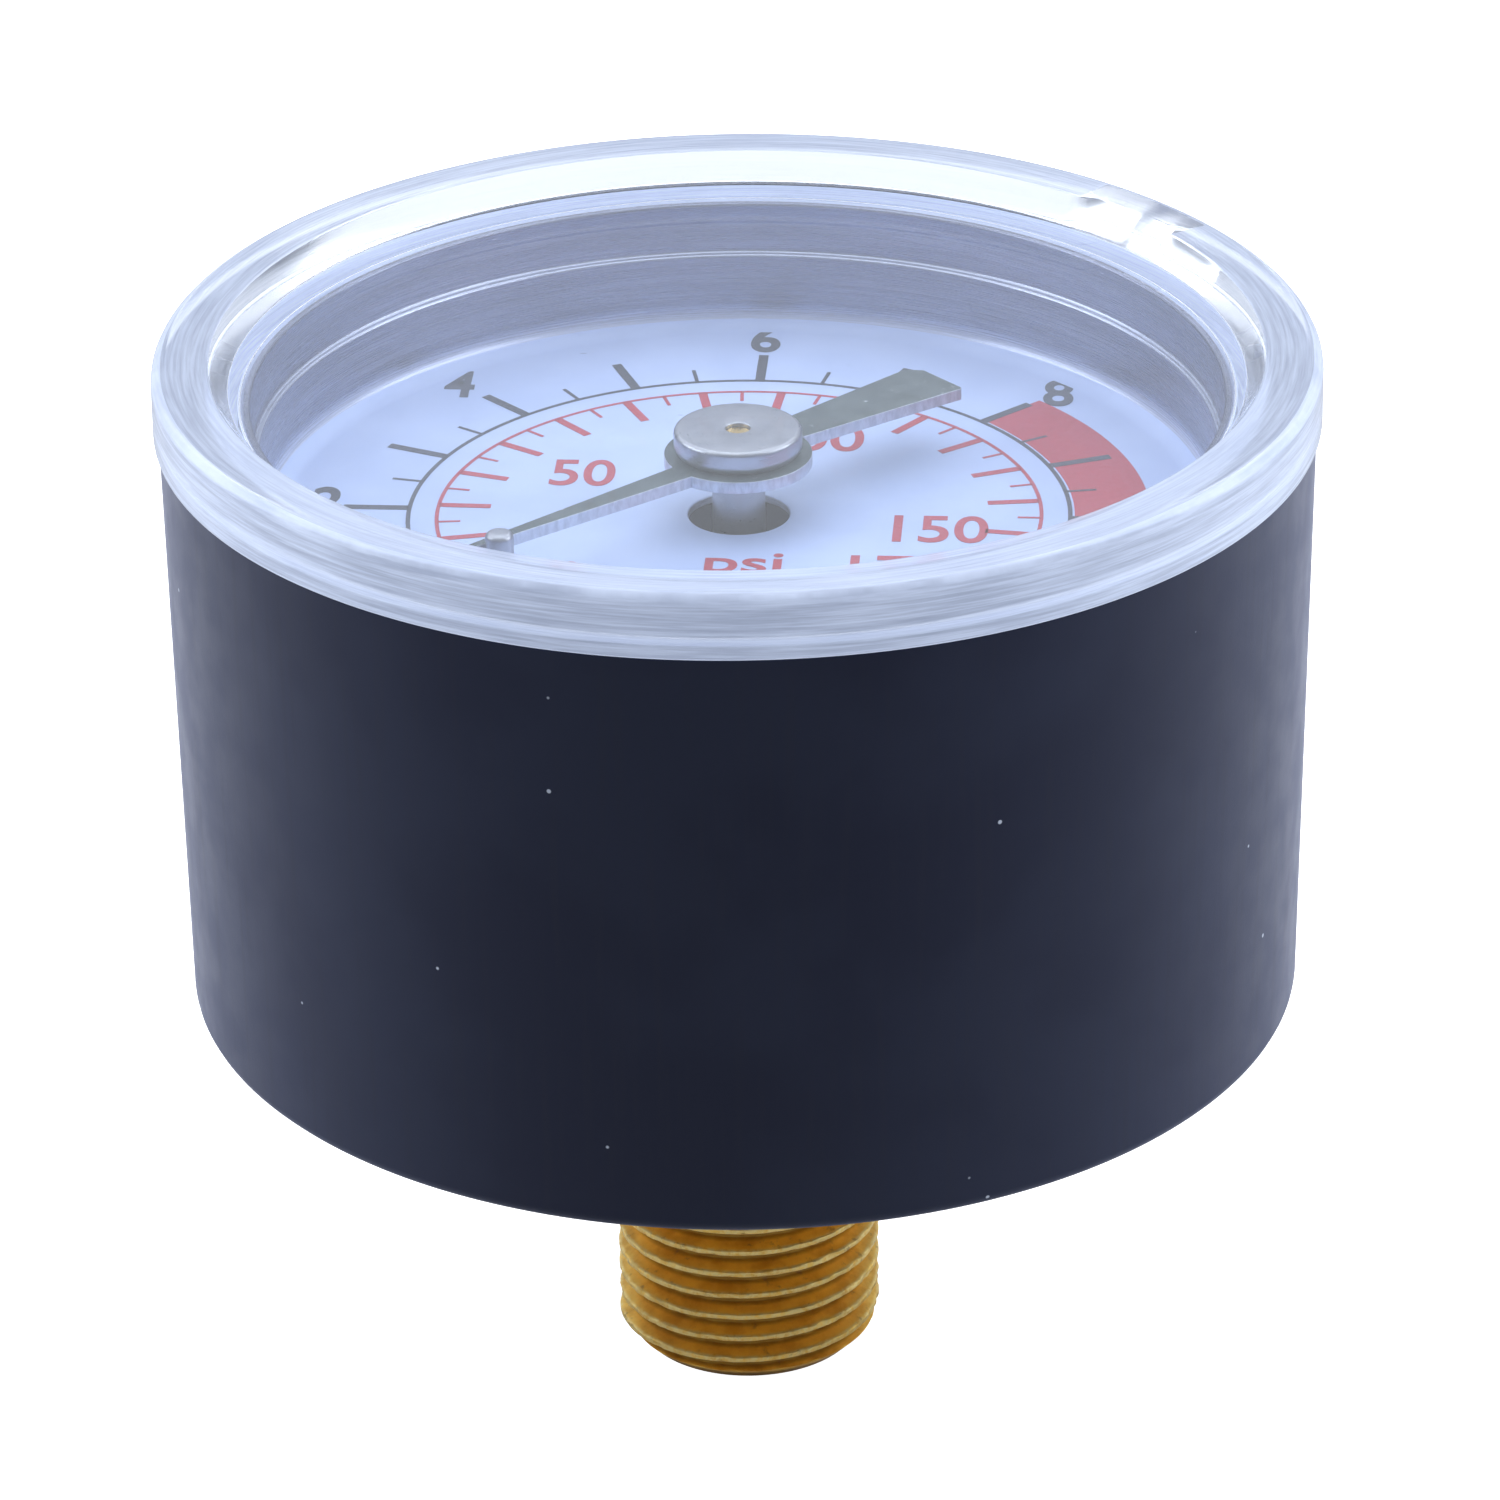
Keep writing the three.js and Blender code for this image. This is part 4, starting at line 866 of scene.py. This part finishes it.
def build_pointer(paint):
    """A tapering arm, a boss and a tail that widens to a cut end, blanked from sheet."""
    arm_root = math.degrees(math.asin(ARM_ROOT_HALF_WIDTH / BOSS_RADIUS))
    tail_up = 180 - math.degrees(math.asin((TAIL_ROOT_HALF_WIDTH - TAIL_OFFSET) / BOSS_RADIUS))
    tail_down = 180 + math.degrees(math.asin((TAIL_ROOT_HALF_WIDTH + TAIL_OFFSET) / BOSS_RADIUS))
    end_down = -TAIL_END_HALF_WIDTH - TAIL_OFFSET
    outline = [Vector((POINTER_TIP, -TIP_HALF_WIDTH)), Vector((POINTER_TIP, TIP_HALF_WIDTH))]
    outline += arc(BOSS_RADIUS, arm_root, tail_up)
    outline += rounded([
        (0, 0, 0),
        (-POINTER_TAIL, TAIL_END_HALF_WIDTH - TAIL_OFFSET, 0.12),
        (-POINTER_TAIL, end_down + TAIL_CORNER_CUT, 0.1),
        (-POINTER_TAIL + TAIL_CORNER_CUT, end_down, 0.1),
        (0, -TAIL_OFFSET, 0),
    ], closed=False)[1:-1]
    outline += arc(BOSS_RADIUS, tail_down, 360 - arm_root)
    turn = Matrix.Rotation(math.radians(POINTER_ANGLE), 2)
    outlines = [[turn @ p for p in outline], circle(SLEEVE_RADIUS + 0.02)]
    mesh = slab("pointer_sheet", outlines, POINTER_LOW, POINTER_TOP, 0.025)
    piece("pointer_arm", mesh, [paint], body="pointer", replaces=["pointer"])


def build_hub(nickel):
    disc = POINTER_TOP + 0.02
    corners = [
        (HUB_BORE, HUB_LOW, 0.05),
        (SLEEVE_RADIUS, HUB_LOW, 0.08),
        (SLEEVE_RADIUS, disc, 0.0),
        (HUB_RADIUS, disc, 0.35),
        (HUB_RADIUS, HUB_TOP, 0.18),
        (HUB_BORE, HUB_TOP, 0.05),
    ]
    mesh = mesh_from("hub_body", *turned(rounded(corners, steps=7), MEDIUM))
    piece("pointer_hub_cap", mesh, [nickel], body="pointer", replaces=["pointer_hub"])


def build_stop_pin(nickel):
    corners = [
        (0, PIN_LOW, 0),
        (PIN_FOOT_RADIUS, PIN_LOW, 0.06),
        (PIN_FOOT_RADIUS, PIN_LOW + PIN_FOOT_HEIGHT, 0.03),
        (PIN_RADIUS, PIN_LOW + PIN_FOOT_HEIGHT, 0.0),
        (PIN_RADIUS, PIN_TOP, 0.22),
        (0, PIN_TOP, 0),
    ]
    mesh = mesh_from("pin_body", *turned(rounded(corners, closed=False, steps=6), 48))
    moved(mesh, middle("stop_pin"))
    piece("stop_pin_fine", mesh, [nickel], replaces=["stop_pin"])


# ---------- Stem ----------

def thread_radius(height, angle):
    """Radius of the threaded stem, a rounded 55 degree form with nicks on its crests."""
    phase = (height / THREAD_PITCH - angle / FULL_TURN) % 1
    from_crest = abs(phase - 0.5)
    share = min(max((0.42 - from_crest) / 0.33, 0), 1)
    lift = 0.55 * share + 0.45 * share * share * (3 - 2 * share)
    place = Vector((math.cos(angle) * 6, math.sin(angle) * 6, height * 1.6))
    nick = max(noise.noise(place * 2.1) - 0.1, 0) * 0.10 + max(noise.noise(place * 0.8) - 0.3, 0) * 0.10
    radius = THREAD_CORE + (THREAD_RADIUS - THREAD_CORE) * lift - nick * share * share
    return min(radius, THREAD_RADIUS - THREAD_CHAMFER + height)


def threaded_stem():
    rows = 270
    profile = [(0, 0)]
    profile += [(1, THREAD_TOP * i / rows) for i in range(rows + 1)]
    profile += [
        (THREAD_CORE, THREAD_TOP + 0.05),
        (THREAD_CORE, RELIEF_CONE),
        (RELIEF_CONE_RADIUS, SQUARE_BOTTOM),
        (RELIEF_CONE_RADIUS, SQUARE_BOTTOM + 1),
        (0, SQUARE_BOTTOM + 1),
    ]

    def warp(radius, height, angle):
        return (thread_radius(height, angle) if radius == 1 else radius), height

    return mesh_from("stem", *turned(profile, 192, warp))


def spanner_square():
    half = SQUARE_WIDTH / 2
    corner = half - SQUARE_CORNER_CUT
    outline = []
    for side in range(4):
        turn = Matrix.Rotation(math.radians(BAR_DIRECTION + 90 * side), 2)
        outline += [turn @ Vector((half, -corner)), turn @ Vector((half, corner))]
    return slab("square", [outline], SQUARE_BOTTOM, SQUARE_TOP, 0.15)


def socket_bar():
    end_angle = math.degrees(math.asin(BAR_HALF_WIDTH / TUBE_BLOCK_OUTER))
    end = arc(TUBE_BLOCK_OUTER, 180 - end_angle, 180 + end_angle, 12)
    turn = Matrix.Rotation(math.radians(BAR_DIRECTION), 2)
    bar = end + [Vector((BAR_LENGTH, -BAR_HALF_WIDTH)), Vector((BAR_LENGTH, BAR_HALF_WIDTH))]
    inner = [Vector((-TUBE_BLOCK_INNER, -BAR_HALF_WIDTH)), Vector((-TUBE_BLOCK_INNER, BAR_HALF_WIDTH))]
    block = end + inner
    return [
        slab("bar", [[turn @ p for p in bar]], BAR_BOTTOM, BAR_TOP, 0.1),
        slab("block", [[turn @ p for p in block]], BAR_BOTTOM + 0.05, TUBE_BLOCK_TOP, 0.1),
    ]


def oval_bar(half_thickness, half_height, start, end, steps=120):
    """Vertices and faces of an upright flattened bar that follows the Bourdon tube's arc."""
    straight = half_height - half_thickness
    section = [Vector((0, straight)) + p for p in arc(half_thickness, 0, 180, 12)]
    section += [Vector((0, -straight)) + p for p in arc(half_thickness, 180, 360, 12)]
    count = len(section)
    vertices = []
    faces = []
    for step in range(steps + 1):
        angle = start + (end - start) * step / steps
        for p in section:
            place = polar(TUBE_BEND_RADIUS + p.x, angle)
            vertices.append((place.x, place.y, TUBE_MIDDLE + p.y))
        if step < steps:
            ring = step * count
            for k in range(count):
                n = (k + 1) % count
                faces.append((ring + k, ring + n, ring + count + n, ring + count + k))
    faces.append(tuple(range(count)))
    faces.append(tuple(range(steps * count, (steps + 1) * count)))
    return vertices, faces


def build_bourdon_tube(bronze):
    """The flattened C of tube, curved from the socket round to its tip, which moves in the real gauge;
    here it is one fixed mesh.
    """
    outside = mesh_from("tube", *oval_bar(TUBE_HALF_THICKNESS, TUBE_HALF_HEIGHT, TUBE_START, TUBE_END))
    half_thickness = TUBE_HALF_THICKNESS - TUBE_WALL
    inside = oval_bar(half_thickness, TUBE_HALF_HEIGHT - TUBE_WALL, TUBE_START + 2, TUBE_END - 2)
    tube = combined(outside, "DIFFERENCE", [mesh_from("bore", *inside)])
    thing = piece("bourdon_tube_fine", tube, [bronze], None, ["bourdon_tube"])
    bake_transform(thing)


def build_socket(thread, brass):
    neck = rod(NECK_RADIUS, SQUARE_TOP - 0.2, BAR_BOTTOM + 0.2)
    body = combined(threaded_stem(), "UNION", [spanner_square(), neck, *socket_bar()])
    bore_corners = [
        (0, -1),
        (BORE_RADIUS + 1.3, -1),
        (BORE_RADIUS, 0.35),
        (BORE_RADIUS, TUBE_MIDDLE),
        (0, TUBE_MIDDLE),
    ]
    bore = mesh_from("bore", *turned(bore_corners, MEDIUM))
    cross_bore = rod(CROSS_BORE_RADIUS, 0, TUBE_BEND_RADIUS, segments=32)
    lying = Matrix.Rotation(math.radians(BAR_DIRECTION), 4, "Z") @ Matrix.Rotation(-math.pi / 2, 4, "Y")
    cross_bore.transform(Matrix.Translation((0, 0, TUBE_MIDDLE * MM)) @ lying)
    slot = mesh_from("slot", *oval_bar(
        TUBE_HALF_THICKNESS + 0.05, TUBE_HALF_HEIGHT + 0.05, TUBE_START - 20, TUBE_SLOT_END, 24))
    holes = [rod(CASE_SCREW_HOLE, BAR_BOTTOM - 1, CASE_SCREW_DEPTH, at, 48) for at in screw_places()]
    for node in ("movement_screw_1", "movement_screw_2"):
        holes.append(rod(MOVEMENT_SCREW_HOLE, MOVEMENT_SCREW_DEPTH, BAR_TOP + 1, middle(node), 48))
    body = combined(body, "DIFFERENCE", [bore, cross_bore, slot, *holes])

    def finish(centre, normal):
        return 0 if centre.z < RELIEF_CONE and centre.xy.length > BORE_RADIUS + 0.05 else 1

    piece("socket_fine", body, [thread, brass], replaces=["socket"], pick=finish)


# ---------- Movement ----------

def build_screw(node, shank_radius, head_height, steel, head_up=True):
    """A slotted screw with a rounded head, at the place and of the length of its CAD node."""
    low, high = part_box(node)
    head_radius = (high.x - low.x) / 2 / MM
    length = (high.z - low.z) / MM
    seat = length - head_height
    corners = [
        (0, 0, 0),
        (shank_radius * 0.7, 0, 0),
        (shank_radius, shank_radius * 0.4, 0.05),
        (shank_radius, seat, 0.0),
        (head_radius, seat, 0.08),
        (head_radius, length, 0.3 * head_height),
        (0, length, 0),
    ]
    body = mesh_from("screw", *turned(rounded(corners, closed=False), 64))
    half_slot = 0.15 * head_radius
    slot_outline = [
        (-2 * head_radius, -half_slot),
        (2 * head_radius, -half_slot),
        (2 * head_radius, half_slot),
        (-2 * head_radius, half_slot),
    ]
    slot = slab("slot", [slot_outline], length - head_height / 2, length + head_height, 0.02)
    body = combined(body, "DIFFERENCE", [slot])
    if head_up:
        body.transform(Matrix.Translation((0, 0, low.z)))
    else:
        body.transform(Matrix.Translation((0, 0, high.z)) @ Matrix.Rotation(math.pi, 4, "X"))
    moved(body, middle(node))
    piece(node + "_fine", body, [steel], replaces=[node])


def build_from_node(node, material, edge=0.04):
    """A copy of a small CAD node with flat faces made whole and its edges rounded."""
    source = frame["nodes"][node]
    mesh = source.data.copy()
    work = bmesh.new()
    work.from_mesh(mesh)
    flat = math.radians(1)
    bmesh.ops.dissolve_limit(work, angle_limit=flat, verts=work.verts, edges=work.edges)
    work.to_mesh(mesh)
    work.free()
    tidy(mesh)
    thing = piece(node + "_fine", mesh, [material], source["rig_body"], [node])
    rounding = thing.modifiers.new("rounded_edges", "BEVEL")
    rounding.width = edge * MM
    rounding.segments = 2
    rounding.angle_limit = SMOOTH_ANGLE
    rounding.use_clamp_overlap = True
    thing.modifiers.move(1, 0)


def build_movement(finishes):
    steel = finishes["steel"]
    for number in ("1", "2"):
        build_screw("case_screw_" + number, *CASE_SCREW, steel, head_up=False)
        build_screw("plate_screw_" + number, *PLATE_SCREW, steel)
        build_screw("movement_screw_" + number, *MOVEMENT_SCREW, steel)
    shown = {"case", "window", "dial", "stop_pin", "socket", "bourdon_tube", "pointer", "pointer_hub"}
    for part in frame["record"]["subparts"]:
        node = part["node"]
        if node in shown or "screw" in node:
            continue
        slot = part["material_slot"]
        build_from_node(node, finishes[slot])


# ---------- Scene ----------

def build_stage():
    """A pale floor that the stem stands on."""
    mesh = bpy.data.meshes.new("floor")
    size = FLOOR_HALF_SIZE
    corners = [(-size, -size, 0), (size, -size, 0), (size, size, 0), (-size, size, 0)]
    mesh.from_pydata(corners, [], [(0, 1, 2, 3)])
    floor = bpy.data.objects.new("floor", mesh)
    bpy.context.scene.collection.objects.link(floor)
    s = Surface("floor_white")
    camera_ray = s.tree.nodes.new("ShaderNodeLightPath").outputs["Is Camera Ray"]
    # Painted shade: the floor is darker towards the camera, so the case reflects and takes up less light
    # from that side; the emission still lifts it for the camera.
    floor_painted_dim_in_front = s.range(s.y, -75, 35, 0.28, 0.8)
    s.set(Base_Color=s.joined(floor_painted_dim_in_front, floor_painted_dim_in_front, floor_painted_dim_in_front), Roughness=0.9, Specular_IOR_Level=0.1,
          Emission_Color=(1, 1, 1), Emission_Strength=s.math("MULTIPLY", camera_ray, FLOOR_GLOW))
    mesh.materials.append(s.material)


def build_world():
    """Soft surroundings, dimmer on the camera's side."""
    world = bpy.data.worlds.new("studio")
    bpy.context.scene.world = world
    world.use_nodes = True
    tree = world.node_tree
    coordinate = tree.nodes.new("ShaderNodeTexCoord")
    split = tree.nodes.new("ShaderNodeSeparateXYZ")
    tree.links.new(coordinate.outputs["Generated"], split.inputs[0])
    ramp = tree.nodes.new("ShaderNodeMapRange")
    ramp.interpolation_type = "SMOOTHSTEP"
    tree.links.new(split.outputs[1], ramp.inputs[0])
    for socket, number in zip(ramp.inputs[1:5], (-0.9, 0.25, 0.28, 0.92)):
        socket.default_value = number
    background = tree.nodes["Background"]
    background.inputs["Color"].default_value = (0.86, 0.91, 1.0, 1)
    tree.links.new(ramp.outputs[0], background.inputs["Strength"])


def area_light(name, place, size, power):
    lamp = bpy.data.lights.new(name, "AREA")
    lamp.shape = "RECTANGLE"
    lamp.size, lamp.size_y = size
    lamp.energy = power
    lamp.color = (0.93, 0.96, 1.0)
    holder = bpy.data.objects.new(name, lamp)
    bpy.context.scene.collection.objects.link(holder)
    holder.location = place
    holder.rotation_euler = (Vector((0, 0, 0.03)) - Vector(place)).to_track_quat("-Z", "Y").to_euler()
    return holder


def build_lights():
    boxes = [area_light("top_box", (0, 0.12, 0.5), (0.9, 0.8), 2.8)]
    for side in (-1, 1):
        boxes.append(area_light("side_box", (side * 0.42, -0.02, 0.16), (0.35, 0.35), 1.6))
    for box in boxes:
        box.visible_glossy = False  # keeps their square outlines off the window


def build_camera():
    camera = bpy.data.cameras.new("camera")
    camera.lens = CAMERA_LENS
    camera.sensor_width = 36
    camera.clip_start = 0.01
    holder = bpy.data.objects.new("camera", camera)
    bpy.context.scene.collection.objects.link(holder)
    heading = Matrix.Rotation(math.radians(CAMERA_HEADING), 4, "Z")
    pitch = Matrix.Rotation(math.radians(90 + CAMERA_PITCH), 4, "X")
    roll = Matrix.Rotation(math.radians(CAMERA_ROLL), 4, "Z")
    holder.matrix_world = Matrix.Translation(Vector(CAMERA_PLACE) * MM) @ heading @ pitch @ roll
    bpy.context.scene.camera = holder


def build_gauge():
    plastic = black_plastic()
    clear = clear_plastic("window_clear", (0.93, 0.955, 0.99))
    # The fifth argument is the strength of painted light given off by each finish's worn faces, strongest
    # on the skirt.
    frosted = clear_plastic("window_rim_top", (0.90, 0.93, 0.98), 0.12, 0.62, 0.20)
    edge = clear_plastic("window_edge", (0.92, 0.95, 0.985), 0.15, 0.75, 0.42, from_inside=0.3)
    skirt = clear_plastic("window_skirt", (0.92, 0.95, 0.985), 0.1, 0.85, 0.75, from_inside=1.0)
    nickel = metal("nickel", (0.46, 0.47, 0.50), (0.39, 0.40, 0.44), 0.27, grain=20, depth=0.12)
    brass = metal("brass", (0.72, 0.50, 0.18), (0.58, 0.37, 0.11), 0.22)
    bronze = metal("bronze", (0.62, 0.36, 0.16), (0.48, 0.25, 0.10), 0.28)
    steel = metal("steel", (0.55, 0.56, 0.58), (0.42, 0.43, 0.46), 0.28)
    black = ink("black_ink", (0.030, 0.036, 0.052), (0.055, 0.062, 0.085))
    red = ink("red_ink", (0.44, 0.030, 0.055), (0.52, 0.055, 0.085))
    build_case(plastic)
    build_window([clear, frosted, edge, skirt])
    build_dial(dial_paint(), dial_wall())
    build_bar_scale(black)
    build_psi_scale(red)
    build_red_zone(red)
    build_pointer(pointer_finish())
    build_hub(nickel)
    build_stop_pin(nickel)
    build_socket(thread_brass(), brass)
    build_bourdon_tube(bronze)
    build_movement({"brass": brass, "bronze": bronze, "steel": steel, "nickel": nickel})


build_gauge()
build_stage()
build_world()
build_lights()
build_camera()
bpy.context.scene.view_settings.view_transform = "Standard"
